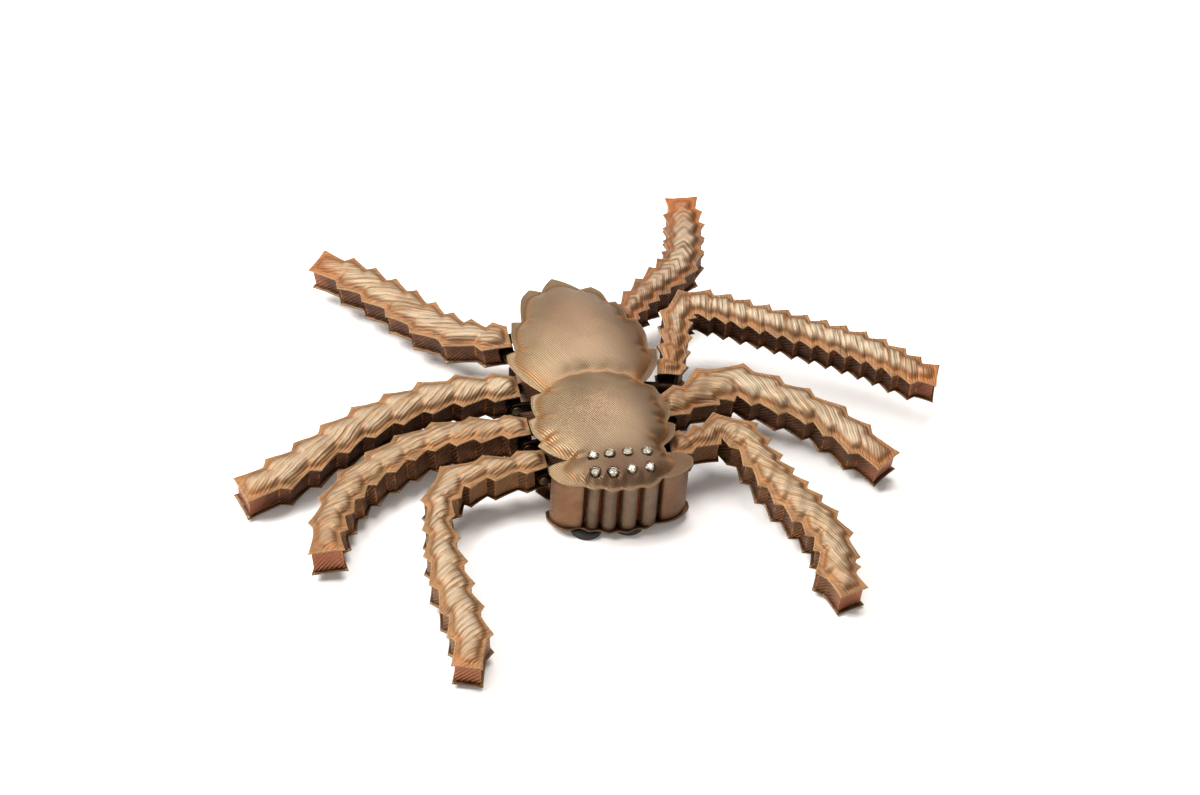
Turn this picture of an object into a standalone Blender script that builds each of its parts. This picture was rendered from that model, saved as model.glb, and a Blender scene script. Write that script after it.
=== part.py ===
"""Tarantula sculpture: a hollow sheet-metal spider, life size, on rubber feet.

World frame: the table top is z = 0, the head looks along -Y, the left legs
reach along -X.  Lengths are written in millimetres and scaled to metres.
"""
import math

import bmesh
import bpy
from mathutils import Matrix, Vector

MM = 0.001
CENTRE = (-0.35, -35.0)     # middle of the whole outline, moved to the origin

# body shell, heights above the table
FEET_TOP = 2.7
BELLY_Z = 3.0
BELLY_T = 0.8
BELLY_BACK = 1.6            # its brow lies behind that of the carapace
WALL_Z = (4.1, 26.1)
WALL_T = 1.2
CARAPACE_Z = 26.4
SHEET = 0.8
FLANGE = 2.6
ABDOMEN_RISE = 6.6
HEAD_RISE = 5.6
CHEEK_Y = -65.0
CHEEK_FOOT = 14.4
ABDOMEN_SPINE = (18.0, -8.0)
HEAD_SPINE = (-40.0, -66.0)

# leg boxes: two serrated plates on a wall band, hinged at the root
BOX_H = 11.0
PLATE_T = 0.7
LEG_FLANGE = 1.7
LEG_RISE = 1.9
BAND_T = 0.9
BAND_ROOT = 3.2
TOOTH = 2.8
GAP = 0.3

# hinges
PIN_R = 1.0
BORE_R = 1.3
KNUCKLE_R = 2.4
KNUCKLE_HALF = 3.6
EAR_T = 1.7
HEAD_R = 1.9
HEAD_T = 0.8

# rubber feet and stone settings
FOOT_R = 6.3
TUBE_R = 2.0
TUBE_BORE = 1.65
CUP_DEEP = 1.5
STONE_R = 1.35
TUBE_H = 3.0

# abdomen edge from the tail to the waist: right side, then left side
TAIL = (-2.3, 44.4)
ABDOMEN_R = [(8.0, 35.8), (12.8, 37.2), (16.2, 33.0), (17.6, 26.4), (20.6, 26.8),
             (22.8, 21.0), (22.8, 15.2), (26.6, 14.6), (28.2, 6.0), (27.2, -4.0),
             (30.6, -5.0), (29.0, -12.4), (25.0, -19.4)]
WAIST_R = (20.4, -24.8)
ABDOMEN_L = [(-8.0, 36.2), (-12.8, 38.4), (-16.6, 33.4), (-18.4, 27.0), (-19.6, 18.4),
             (-23.6, 18.8), (-25.2, 9.6), (-25.4, 0.8), (-29.2, -0.8), (-29.0, -7.4),
             (-25.2, -17.4)]
WAIST_L = (-19.6, -25.2)
WAIST_MID = (0.4, -22.5)
# head edge from the waist to the brow: side scallops, cheek slot, cheek
HEAD_R_EDGE = [(24.6, -27.0), (25.6, -33.0), (24.8, -37.0), (27.8, -37.2), (27.0, -44.0),
               (24.8, -48.4), (27.8, -50.0), (25.4, -57.0), (20.4, -61.6), (20.6, -65.8),
               (27.2, -66.4), (29.9, -69.8), (29.2, -73.6), (25.6, -77.2), (20.8, -79.2),
               (16.0, -79.8)]
HEAD_L_EDGE = [(-24.4, -26.6), (-25.4, -33.0), (-24.8, -39.2), (-28.0, -40.2),
               (-27.6, -48.0), (-25.2, -53.0), (-27.2, -55.4), (-23.0, -61.0),
               (-17.6, -65.2), (-25.6, -67.4), (-25.8, -72.0), (-23.4, -76.4),
               (-19.4, -78.8)]
BROW = [(14.6, -81.4), (10.6, -83.8), (7.0, -83.4), (3.2, -84.8), (-0.2, -83.6),
        (-4.2, -84.2), (-7.6, -82.2), (-11.2, -82.2), (-14.4, -80.0)]
# line of the wall ring below the shells, grooved across the brow
WALL_R = [(-1.0, 40.0), (7.6, 32.4), (13.4, 32.2), (17.0, 23.6), (20.6, 13.0),
          (24.8, 0.0), (26.2, -6.0), (24.6, -13.0), (17.4, -24.8), (21.4, -30.0),
          (23.8, -38.0), (23.2, -48.0), (22.0, -56.0), (17.0, -62.4), (17.6, -68.4),
          (25.8, -68.4), (28.2, -70.2), (27.8, -73.0), (24.8, -76.2), (20.6, -78.0),
          (17.4, -77.8)]
FLUTES = [(16.2, -75.4), (14.6, -79.4), (12.2, -81.0), (9.6, -80.4), (8.0, -77.6),
          (6.6, -80.6), (4.0, -81.8), (1.4, -80.8), (0.0, -77.6), (-1.2, -80.2),
          (-3.6, -81.2), (-5.8, -79.8), (-6.8, -77.0), (-7.8, -79.0), (-9.8, -79.8),
          (-11.6, -78.6), (-12.6, -75.4)]
WALL_L = [(-8.2, 33.4), (-13.4, 34.2), (-15.8, 28.0), (-17.4, 17.4), (-20.8, 15.0),
          (-22.2, 6.0), (-25.6, -4.0), (-24.2, -13.0), (-16.8, -25.0), (-21.2, -30.0),
          (-23.6, -39.0), (-23.6, -48.0), (-21.6, -57.0), (-15.0, -63.2),
          (-15.8, -68.6), (-23.6, -68.8), (-24.6, -72.0), (-22.4, -75.6), (-18.6, -77.6),
          (-14.0, -77.8)]

EYES = [(-8.8, -68.6), (-2.6, -69.0), (4.4, -69.0), (12.0, -68.8),
        (-9.4, -76.0), (-2.8, -77.4), (4.4, -77.0), (11.6, -76.2)]
FEET = [(-11.2, -75.4), (5.2, -75.2), (-11.0, 22.0), (11.0, 20.0)]

# name: hinge centre, (heading, droop, roll) in degrees, hinge bracket, number of
# teeth on the left and right edge seen from the root, then stations of the
# centre line as (x, y, half width)
LEGS = {
    "left_1": ((-25.5, 15.0, 17.0), (180, 11, -8), "ears", (7, 9),
               [(-2, -1.4, 6.5), (10, -5.5, 7.9), (20, -11.5, 8.7), (28, -20, 9.1),
                (35, -30, 9.1), (44, -42, 8.7), (55, -55, 8.5), (66, -66, 6.1)]),
    "left_2": ((-28.5, -15.4, 17.0), (180, 2, -10), "ears", (9, 9),
               [(-2, -1.5, 5.7), (14, -2.8, 8.2), (28, -2.4, 8.6), (42, 0.6, 8.8),
                (55, 5.0, 9.0), (68, 10.8, 9.0), (84, 20.4, 8.8), (100, 29, 8.8),
                (112, 33, 6.6)]),
    "left_3": ((-28.5, -39.5, 17.0), (180, 7, 3), "ears", (11, 9),
               [(-2, -1.0, 5.7), (12, -3.6, 8.1), (24, -5.4, 8.5), (36, -5.0, 8.7),
                (47, -1.4, 9.1), (58, 5, 8.9), (68, 12, 8.9), (75, 21, 8.5),
                (80, 31, 8.0), (83, 41, 7.9), (84, 50, 6.9)]),
    "left_4": ((-26.0, -57.5, 17.0), (180, 4, -4), "ears", (11, 10),
               [(-2, -0.4, 5.1), (12, 0.4, 6.9), (24, 0.6, 7.5), (34, 3, 8.3),
                (40, 10, 7.7), (43, 19, 6.5), (44, 32, 7.1), (44.5, 46, 8.3),
                (43.7, 60, 8.3), (42, 74, 8.3), (42.4, 85, 8.3), (46, 96, 5.7)]),
    "right_1": ((24.0, 21.0, 17.5), (25, -10, 7), "ears", (10, 11),
                [(-2, 1.0, 6.1), (10, 5.4, 7.3), (20, 7.5, 7.9), (29, 8.5, 8.7),
                 (38, 12, 8.9), (45, 19.5, 8.7), (51, 27.5, 8.7), (58, 38, 6.9)]),
    "right_2": ((32.2, -17.8, 17.3), (78, -13, 0), "boss", (18, 20),
                [(2.9, -0.6, 5.3), (10.5, -2.1, 6.5), (22.5, -3.1, 6.9),
                 (32.5, -3.6, 7.3), (39, -8.6, 8.1), (38.3, -18.6, 7.9),
                 (34.3, -33.6, 7.9), (28.5, -53.6, 8.1), (23.5, -70.6, 8.2),
                 (18, -84.6, 8.3), (10.5, -98.6, 7.5), (8.5, -107.6, 5.5)]),
    "right_3": ((28.0, -34.0, 17.0), (0, 1, 11), "ears", (8, 9),
                [(-2, 1.0, 6.2), (10, 4.7, 8.4), (20, 9.6, 10.3), (30, 10.5, 9.9),
                 (38, 6.5, 9.9), (50, -1, 9.1), (61, -8.5, 8.9), (68.5, -18, 9.1),
                 (76, -27, 8.5), (82, -35, 6.5)]),
    "right_4": ((26.0, -56.5, 17.0), (0, 0, 8), "ears", (14, 12),
                [(-2, 0.6, 5.9), (10, 2.6, 6.7), (19, 7, 7.7), (26, 6.5, 8.5),
                 (30.5, -5, 8.3), (34.5, -17, 8.7), (41, -31, 9.3), (48.5, -46, 9.1),
                 (50, -57, 8.9), (48.5, -67, 9.1), (52, -79, 5.9)]),
}

MATERIALS = {
    "worn_copper": ((0.42, 0.27, 0.17), 0.45, 1.0),
    "dark_copper": ((0.13, 0.08, 0.06), 0.55, 1.0),
    "tan_metal": ((0.46, 0.37, 0.28), 0.42, 1.0),
    "brass": ((0.62, 0.47, 0.24), 0.35, 1.0),
    "steel": ((0.66, 0.65, 0.62), 0.30, 1.0),
    "clear_stone": ((0.92, 0.93, 0.95), 0.04, 0.0),
    "black_rubber": ((0.02, 0.02, 0.02), 0.75, 0.0),
}


def clear():
    for obj in list(bpy.data.objects):
        bpy.data.objects.remove(obj, do_unlink=True)


def material(name):
    mat = bpy.data.materials.get(name)
    if mat is None:
        color, rough, metal = MATERIALS[name]
        mat = bpy.data.materials.new(name)
        mat.use_nodes = True
        shader = mat.node_tree.nodes["Principled BSDF"]
        shader.inputs["Base Color"].default_value = (*color, 1.0)
        shader.inputs["Roughness"].default_value = rough
        shader.inputs["Metallic"].default_value = metal
    return mat


def add(name, bm, mat, matrix=Matrix(), smooth=False):
    bmesh.ops.recalc_face_normals(bm, faces=bm.faces)
    mesh = bpy.data.meshes.new(name)
    bm.to_mesh(mesh)
    bm.free()
    if smooth:
        mesh.shade_smooth()
        mesh.set_sharp_from_angle(angle=math.radians(40))
    mesh.materials.append(material(mat))
    obj = bpy.data.objects.new(name, mesh)
    bpy.context.scene.collection.objects.link(obj)
    obj.matrix_world = Matrix.Translation((-CENTRE[0] * MM, -CENTRE[1] * MM, 0)) @ matrix
    return obj


def boolean(obj, tools, operation):
    """Cut or join the tools into obj and drop them."""
    for tool in tools:
        mod = obj.modifiers.new("tool", "BOOLEAN")
        mod.object = tool
        mod.operation = operation
        mod.solver = "EXACT"
    bpy.context.view_layer.update()
    graph = bpy.context.evaluated_depsgraph_get()
    mesh = bpy.data.meshes.new_from_object(obj.evaluated_get(graph))
    bm = bmesh.new()
    bm.from_mesh(mesh)
    bmesh.ops.remove_doubles(bm, verts=bm.verts, dist=0.00002)
    bmesh.ops.dissolve_degenerate(bm, edges=bm.edges, dist=0.00001)
    bmesh.ops.triangulate(bm, faces=bm.faces)
    bm.to_mesh(mesh)
    bm.free()
    obj.modifiers.clear()
    old = obj.data
    obj.data = mesh
    bpy.data.meshes.remove(old)
    obj.data.materials.clear()
    obj.data.materials.append(bpy.data.materials[tools[0].data.materials[0].name])
    for tool in tools:
        bpy.data.objects.remove(tool, do_unlink=True)


def loft(rings, loop=False):
    """Skin rings of equal length given in mm; capped unless loop is set."""
    bm = bmesh.new()
    rows = [[bm.verts.new(Vector(p) * MM) for p in ring] for ring in rings]
    count = len(rows[0])
    pairs = list(zip(rows, rows[1:])) + ([(rows[-1], rows[0])] if loop else [])
    for low, high in pairs:
        for i in range(count):
            j = (i + 1) % count
            bm.faces.new((low[i], low[j], high[j], high[i]))
    if not loop:
        caps = [bm.faces.new(list(reversed(rows[0]))), bm.faces.new(rows[-1])]
        bm.normal_update()
        bmesh.ops.triangulate(bm, faces=caps)
    return bm


def turned(profile, sides, axis="Z", centre=(0, 0)):
    """Closed ring or solid turned from (radius, height) points in mm."""
    rings = []
    for k in range(sides):
        a = 2 * math.pi * (k + 0.5) / sides
        c, s = math.cos(a), math.sin(a)
        ring = []
        for r, h in profile:
            u, v = r * c + centre[0], r * s + centre[1]
            ring.append((u, v, h) if axis == "Z" else (u, h, -v))
        rings.append(ring)
    bm = loft(rings, loop=True)
    bmesh.ops.remove_doubles(bm, verts=bm.verts, dist=0.000001)
    loose = [edge for edge in bm.edges if not edge.link_faces]
    bmesh.ops.delete(bm, geom=loose, context="EDGES")
    return bm


# ---------------------------------------------------------------- legs

def sample(stations, s):
    """Point, direction and half width at fraction s of a smoothed line."""
    n = len(stations) - 1
    i = min(int(s * n), n - 1)
    t = s * n - i
    p0, p1 = stations[max(i - 1, 0)], stations[i]
    p2, p3 = stations[i + 1], stations[min(i + 2, n)]
    out, slope = [], []
    for a, b, c, d in zip(p0, p1, p2, p3):
        out.append(0.5 * (2 * b + (c - a) * t + (2 * a - 5 * b + 4 * c - d) * t ** 2
                          + (3 * b - a - 3 * c + d) * t ** 3))
        slope.append(0.5 * ((c - a) + 2 * (2 * a - 5 * b + 4 * c - d) * t
                            + 3 * (3 * b - a - 3 * c + d) * t ** 2))
    along = Vector(slope[:2]).normalized()
    return Vector(out[:2]), along, out[2]


def arc_table(stations):
    """Running length along the line against its fraction."""
    steps = 40 * (len(stations) - 1)
    table, last, run = [], None, 0.0
    for k in range(steps + 1):
        point = sample(stations, k / steps)[0]
        run += (point - last).length if last else 0.0
        table.append((run, k / steps))
        last = point
    return table


def at_length(table, length):
    for (a, fa), (b, fb) in zip(table, table[1:]):
        if length <= b:
            return fa + (fb - fa) * max(length - a, 0.0) / max(b - a, 1e-9)
    return table[-1][1]


def leg_edge(stations, teeth):
    """Points of the saw-toothed edge as (fraction, side, tip or notch depth)."""
    table = arc_table(stations)
    total = table[-1][0]
    edge = []
    for side, count in ((1, teeth[0]), (-1, teeth[1])):
        row = [(0.0, side, 0.6)]
        pitch = total / count
        for k in range(count):
            last = k == count - 1
            depth = TOOTH * min(1.0, 0.45 + pitch / 16)
            row.append((pitch * (k + (0.96 if last else 0.74)), side, 0.0))
            if not last:
                row.append((pitch * (k + 0.98), side, depth))
        edge += row if side == 1 else [(total - 2.2, 0, 0.0)] + row[::-1]
    line = [sample(stations, k / 120)[0] for k in range(121)]
    kept = []
    for length, side, depth in edge:
        point, along, half = sample(stations, at_length(table, length))
        reach = half - depth
        spot = point + Vector((-along.y, along.x)) * side * reach
        if min((spot - p).length for p in line) > reach - 0.4:
            kept.append((length, side, depth))
    return table, kept, total


def leg_ring(stations, edge, table, total, z, inset=0.0, share=None, root=None):
    """One ring of the leg at height z, pulled in from the edge.

    inset is a distance from the edge, share a part of the half width, and
    root the start of the ring along the leg.
    """
    ring = []
    for length, side, depth in edge:
        near_tip = length > total - 4.0
        if root is None:
            root = inset if share is None else 3.0
        run = length - ((inset if share is None else 3.0) if near_tip else 0.0)
        run = max(run, root)
        point, along, half = sample(stations, at_length(table, run))
        reach = half - depth * (1.0 if inset == 0 else 0.85)
        reach = reach * share if share is not None else reach - inset
        normal = Vector((-along.y, along.x))
        spot = point + normal * side * reach
        end = stations[0][0] + root
        ring.append((end if run <= root else max(spot.x, end), spot.y, z))
    return ring


def crossing(start, run, line):
    """Share of run after start at which it first meets a closed line."""
    found = []
    for a, b in zip(line, line[1:] + line[:1]):
        side = Vector(b) - Vector(a)
        off = Vector(a) - start
        det = run.x * side.y - run.y * side.x
        if abs(det) > 1e-6:
            t = (off.x * side.y - off.y * side.x) / det
            u = (off.x * run.y - off.y * run.x) / det
            if 0 <= u <= 1 and t > 0:
                found.append(t)
    return min(found)


def wall_distance(matrix, y):
    """How far the wall lies behind the hinge line at y, in mm."""
    start = (matrix @ Vector((0, y * MM, 0))).xy / MM
    back = -(matrix.to_3x3() @ Vector((1, 0, 0))).xy
    return crossing(start, back, WALL_R + FLUTES + WALL_L[::-1])


def hinge_ear(side, matrix):
    """Drilled ear in the hinge frame, running back into the body wall."""
    y0 = side * (KNUCKLE_HALF + GAP)
    y1 = y0 + side * EAR_T
    reach = max(wall_distance(matrix, y0), wall_distance(matrix, y1)) + WALL_T * 0.7
    outer, inner = [], []
    for k in range(12):
        a = 2 * math.pi * (k + 0.5) / 12
        c, s = math.cos(a), math.sin(a)
        inner.append((BORE_R * c, BORE_R * s))
        if c > 0:
            outer.append((KNUCKLE_R * c, KNUCKLE_R * s))
        else:
            outer.append((-reach if abs(s) > 0.6 or abs(c) > 0.9 else -reach * 0.99,
                          max(-1, min(1, s * 1.42)) * KNUCKLE_R))
    rings = [[(x, y0, z) for x, z in outer], [(x, y1, z) for x, z in outer],
             [(x, y1, z) for x, z in inner], [(x, y0, z) for x, z in inner]]
    return loft(rings, loop=True)


def box(lo, hi):
    ring = [(lo[0], lo[1]), (hi[0], lo[1]), (hi[0], hi[1]), (lo[0], hi[1])]
    return loft([[(x, y, lo[2]) for x, y in ring], [(x, y, hi[2]) for x, y in ring]])


def build_leg(name, spec):
    """Plates, band with knuckle, pin; returns the ears for the body wall."""
    centre, turn, bracket, teeth, stations = spec
    paired = bracket == "ears"
    heading, droop, roll = (math.radians(v) for v in turn)
    matrix = (Matrix.Translation(Vector(centre) * MM)
              @ Matrix.Rotation(heading, 4, "Z") @ Matrix.Rotation(droop, 4, "Y")
              @ Matrix.Rotation(roll, 4, "X"))
    table, edge, total = leg_edge(stations, teeth)

    def ring(z, inset=0.0, share=None, root=None):
        return leg_ring(stations, edge, table, total, z, inset, share, root)

    top, low = BOX_H / 2, -BOX_H / 2
    add(f"{name}_top_plate", loft([
        ring(top + LEG_RISE - PLATE_T, 0, 0.34), ring(top - PLATE_T, LEG_FLANGE + 0.5),
        ring(top - PLATE_T), ring(top), ring(top, LEG_FLANGE),
        ring(top + LEG_RISE, 0, 0.40)]), "worn_copper", matrix)
    add(f"{name}_bottom_plate", loft([ring(low), ring(low + PLATE_T)]),
        "dark_copper", matrix)

    z0, z1 = low + PLATE_T + GAP, top - PLATE_T - GAP
    start = max(BAND_ROOT - stations[0][0], LEG_FLANGE)
    outer, inner = (start, LEG_FLANGE - 0.3), (start + BAND_T, LEG_FLANGE - 0.3 + BAND_T)
    band = add(f"{name}_wall_band", loft([
        ring(z, inset, None, run) for z, (run, inset) in (
            (z0, outer), (z1, outer), (z1, inner), (z0, inner))],
        loop=True), "dark_copper", matrix)
    web = add("web", box((BORE_R + 0.35, -KNUCKLE_HALF + 0.4, -1.5),
                         (stations[0][0] + start + 0.5, KNUCKLE_HALF - 0.4, 1.5)),
              "dark_copper", matrix)
    knuckle = add("knuckle", turned([
        (BORE_R, -KNUCKLE_HALF), (KNUCKLE_R, -KNUCKLE_HALF),
        (KNUCKLE_R, KNUCKLE_HALF), (BORE_R, KNUCKLE_HALF)], 12, "Y"),
        "dark_copper", matrix)
    boolean(band, [web, knuckle], "UNION")

    near = KNUCKLE_HALF + GAP + (EAR_T + GAP if paired else 0.0)
    far = near if paired else 8.6
    profile = [(0, -near - HEAD_T), (HEAD_R, -near - HEAD_T), (HEAD_R, -near),
               (PIN_R, -near), (PIN_R, far)]
    if paired:
        profile += [(HEAD_R, far), (HEAD_R, far + HEAD_T), (0, far + HEAD_T)]
    else:
        profile += [(0, far)]
    add(f"{name}_hinge_pin", turned(profile, 10, "Y"), "steel", matrix, smooth=True)

    if paired:
        return [add("ear", hinge_ear(side, matrix), "tan_metal", matrix)
                for side in (1, -1)]
    start, stop = KNUCKLE_HALF + GAP, 15.0
    return [add("boss", turned([(BORE_R, start), (KNUCKLE_R, start), (KNUCKLE_R, stop),
                                (0, stop), (0, far + GAP), (BORE_R, far + GAP)],
                               12, "Y"), "tan_metal", matrix)]


# ---------------------------------------------------------------- body

def pillow(edge, rise, spine, wall):
    """Rings of one domed half: flange, shoulder, crown and its underside.

    The dome starts over the inner face of the wall, and the cheeks stay flat.
    """
    hi, lo = spine
    rays = []
    for p, q in zip(edge, edge[1:] + edge[:1]):
        for x, y in (p, ((p[0] + q[0]) / 2, (p[1] + q[1]) / 2)):
            start = Vector((0, max(lo, min(hi, y))))
            run = Vector((x, y)) - start
            foot = min(1 - FLANGE / run.length,
                       crossing(start, run, wall) + 0.3 / run.length)
            if y < CHEEK_Y and x:
                foot = min(foot, CHEEK_FOOT / abs(x))
            rays.append((start, run, foot))

    def ring(share, z, inset=0.0):
        out = []
        for start, run, foot in rays:
            pull = 1.0 if share is None else share * (foot - inset / run.length)
            out.append((*(start + run * pull), z))
        return out
    top = CARAPACE_Z + SHEET
    return [ring(0.12, CARAPACE_Z + rise), ring(0.46, CARAPACE_Z + rise * 0.90),
            ring(0.80, CARAPACE_Z + rise * 0.58),
            ring(1.0, CARAPACE_Z, 0.6), ring(None, CARAPACE_Z),
            ring(None, top), ring(1.0, top),
            ring(0.80, top + rise * 0.62), ring(0.46, top + rise * 0.92),
            ring(0.12, top + rise)]


def stone():
    """Round brilliant outline: table, crown, girdle and pavilion."""
    rings = []
    for r, z in ((0.3, -1.0), (STONE_R, -0.1), (STONE_R, 0.1), (STONE_R * 0.6, 0.6)):
        rings.append([(r * math.cos(math.pi * k / 4), r * math.sin(math.pi * k / 4), z)
                      for k in range(8)])
    return loft(rings)


def build_eyes(shell):
    """Cup settings pass through the shell, each holding one stone."""
    bpy.context.view_layer.update()
    holes = []
    for i, (x, y) in enumerate(EYES):
        hit = shell.ray_cast(Vector((x, y, 60)) * MM, Vector((0, 0, -1)))[1]
        z = hit.z / MM - 1.9
        add(f"eye_tube_{i + 1}", turned([
            (0, z), (TUBE_R, z), (TUBE_R, z + TUBE_H), (TUBE_BORE, z + TUBE_H),
            (TUBE_BORE, z + TUBE_H - CUP_DEEP), (0, z + TUBE_H - CUP_DEEP)],
            10, centre=(x, y)), "steel", smooth=True)
        stone_at = Matrix.Translation(Vector((x, y, z + TUBE_H - 0.1)) * MM)
        add(f"eye_stone_{i + 1}", stone(), "clear_stone", stone_at)
        holes.append(add("hole", turned([(0, z - 4), (TUBE_R + GAP, z - 4),
                                         (TUBE_R + GAP, z + 6), (0, z + 6)],
                                        10, centre=(x, y)), "tan_metal"))
    boolean(shell, holes, "DIFFERENCE")


def build():
    clear()
    ears = []
    for name, spec in LEGS.items():
        ears += build_leg(name, spec)

    wall_line = WALL_R + FLUTES + WALL_L[::-1]
    outer = [Vector(p) for p in wall_line]
    inner = []
    for i, p in enumerate(outer):
        a, b = outer[i - 1], outer[(i + 1) % len(outer)]
        u, v = (p - a).normalized(), (b - p).normalized()
        normal = (Vector((u.y, -u.x)) + Vector((v.y, -v.x))).normalized()
        cosine = max(0.45, normal.dot(Vector((u.y, -u.x))))
        inner.append(p + normal * WALL_T / cosine)
    z0, z1 = WALL_Z
    wall = add("body_wall", loft([[(p.x, p.y, z) for p in line] for line, z in (
        (outer, z0), (outer, z1), (inner, z1), (inner, z0))], loop=True), "tan_metal")
    boolean(wall, ears, "UNION")

    rear = [TAIL] + ABDOMEN_R + [WAIST_R, WAIST_MID, WAIST_L] + ABDOMEN_L[::-1]
    front = [WAIST_R] + HEAD_R_EDGE + BROW + HEAD_L_EDGE[::-1] + [WAIST_L, WAIST_MID]
    belly = (rear[:rear.index(WAIST_MID)] + HEAD_R_EDGE + [(x, y + BELLY_BACK) for x, y in BROW]
             + HEAD_L_EDGE[::-1] + rear[rear.index(WAIST_L):])
    add("belly_plate", loft([[(x, y, z) for x, y in belly]
                             for z in (BELLY_Z, BELLY_Z + BELLY_T)]), "dark_copper")
    shell = add("carapace_plate", loft(pillow(rear, ABDOMEN_RISE, ABDOMEN_SPINE, inner)),
                "tan_metal")
    boolean(shell, [add("front_half", loft(pillow(front, HEAD_RISE, HEAD_SPINE, inner)),
                        "tan_metal")], "UNION")
    build_eyes(shell)
    for i, spot in enumerate(FEET):
        add(f"rubber_foot_{i + 1}", turned([
            (0, 0), (FOOT_R - 0.9, 0), (FOOT_R, 0.9), (FOOT_R, FEET_TOP),
            (0, FEET_TOP)], 20, centre=spot), "black_rubber", smooth=True)


build()
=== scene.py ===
import math

import bpy
import numpy as np
from mathutils import Matrix, Vector
from mathutils.geometry import delaunay_2d_cdt


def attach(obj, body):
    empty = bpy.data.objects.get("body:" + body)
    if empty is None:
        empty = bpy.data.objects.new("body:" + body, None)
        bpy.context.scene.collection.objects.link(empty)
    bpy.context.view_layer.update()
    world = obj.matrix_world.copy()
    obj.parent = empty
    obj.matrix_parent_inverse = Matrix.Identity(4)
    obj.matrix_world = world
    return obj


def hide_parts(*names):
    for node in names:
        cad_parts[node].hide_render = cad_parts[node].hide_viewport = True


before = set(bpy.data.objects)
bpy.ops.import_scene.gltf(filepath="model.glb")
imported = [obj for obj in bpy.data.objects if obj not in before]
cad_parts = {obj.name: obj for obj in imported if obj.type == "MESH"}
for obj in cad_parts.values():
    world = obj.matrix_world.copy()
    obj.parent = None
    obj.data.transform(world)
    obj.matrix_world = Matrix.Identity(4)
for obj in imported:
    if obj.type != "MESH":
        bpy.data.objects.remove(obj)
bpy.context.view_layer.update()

# All lengths below are millimetres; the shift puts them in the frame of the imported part.
MM = 0.001
SHIFT = Vector((0.35, 35.0, 0.0))

# body shell
BELLY_Z, BELLY_T, BELLY_BACK = 3.0, 0.8, 1.6
CARAPACE_Z, SHEET = 26.4, 0.8
ABDOMEN_RISE, HEAD_RISE = 6.8, 5.8
WALL_T = 1.2

# leg boxes
BOX_H, PLATE_T, LEG_RISE, LEG_FLANGE = 11.0, 0.7, 3.0, 1.7
BAND_T, BAND_ROOT, TOOTH, GAP = 0.9, 3.2, 2.8, 0.3
PIN_R, BORE_R, KNUCKLE_R, KNUCKLE_HALF = 1.0, 1.3, 2.4, 3.6
EAR_T, HEAD_R, HEAD_T = 1.7, 1.9, 0.8
BOSS_PIN_END, BOSS_END = 8.6, 15.0
# crown of a leg: how far it is flat, full and steep, and where the tint of the tip starts
CROWN_LOW, CROWN_FULL, CROWN_POWER, TIP_TINT = 0.7, 0.33, 0.6, 20.0

# feet and stone settings
FOOT_R, FEET_TOP = 6.3, 2.7
TUBE_R, TUBE_BORE, SEAT_BORE, STONE_R = 2.0, 1.65, 1.15, 1.5

# mesh sizes, and the load that gives a strip of half width w the height w * w / 2
TOP_CELL, SOLE_CELL, SHELL_CELL, BELLY_CELL = 0.6, 1.6, 0.75, 1.8
SHELL_RIM, SOLE_RIM, WALL_CELL, BAND_CELL = 0.8, 0.9, 0.6, 0.5
LOAD = 1.5

# camera and studio, in metres and degrees
TARGET, DISTANCE, ELEVATION, AZIMUTH, ROLL = (0.01055, 0.035, 0.0), 1.3, 40.4, -14.8, 4.5
SENSOR, LENS = 36, 97.5
FLOOR = 30
LAMPS = [("key", (-0.85, 0.15, 1.05), 0.8, 25.0), ("top", (0.15, 0.45, 1.3), 0.9, 18.0),
         ("fill", (-0.7, -1.2, 0.7), 0.9, 2.5)]

# a corner sharper than this, in radians, is a barb, but not along the brow
BARB_TURN, BROW_Y = 0.75, -79.0

# outline of the carapace: abdomen from the tail to the waist, then the head to the brow
TAIL = (-2.3, 44.4)
ABDOMEN_R = [(8.0, 35.8), (12.8, 37.2), (16.2, 33.0), (17.6, 26.4), (20.6, 26.8),
             (22.8, 21.0), (22.8, 15.2), (26.6, 14.6), (28.2, 6.0), (27.2, -4.0),
             (30.6, -5.0), (29.0, -12.4), (25.0, -19.4)]
WAIST_R = (20.4, -24.8)
ABDOMEN_L = [(-8.0, 36.2), (-12.8, 38.4), (-16.6, 33.4), (-18.4, 27.0), (-19.6, 18.4),
             (-23.6, 18.8), (-25.2, 9.6), (-25.4, 0.8), (-29.2, -0.8), (-29.0, -7.4),
             (-25.2, -17.4)]
WAIST_L = (-19.6, -25.2)
HEAD_R_EDGE = [(24.6, -27.0), (25.6, -33.0), (24.8, -37.0), (27.8, -37.2), (27.0, -44.0),
               (24.8, -48.4), (27.8, -50.0), (25.4, -57.0), (20.4, -61.6), (20.6, -65.8),
               (27.2, -66.4), (29.9, -69.8), (29.2, -73.6), (25.6, -77.2), (20.8, -79.2),
               (16.0, -79.8)]
HEAD_L_EDGE = [(-24.4, -26.6), (-25.4, -33.0), (-24.8, -39.2), (-28.0, -40.2),
               (-27.6, -48.0), (-25.2, -53.0), (-27.2, -55.4), (-23.0, -61.0),
               (-17.6, -65.2), (-25.6, -67.4), (-25.8, -72.0), (-23.4, -76.4),
               (-19.4, -78.8)]
BROW = [(14.6, -81.4), (10.6, -83.8), (7.0, -83.4), (3.2, -84.8), (-0.2, -83.6),
        (-4.2, -84.2), (-7.6, -82.2), (-11.2, -82.2), (-14.4, -80.0)]
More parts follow.
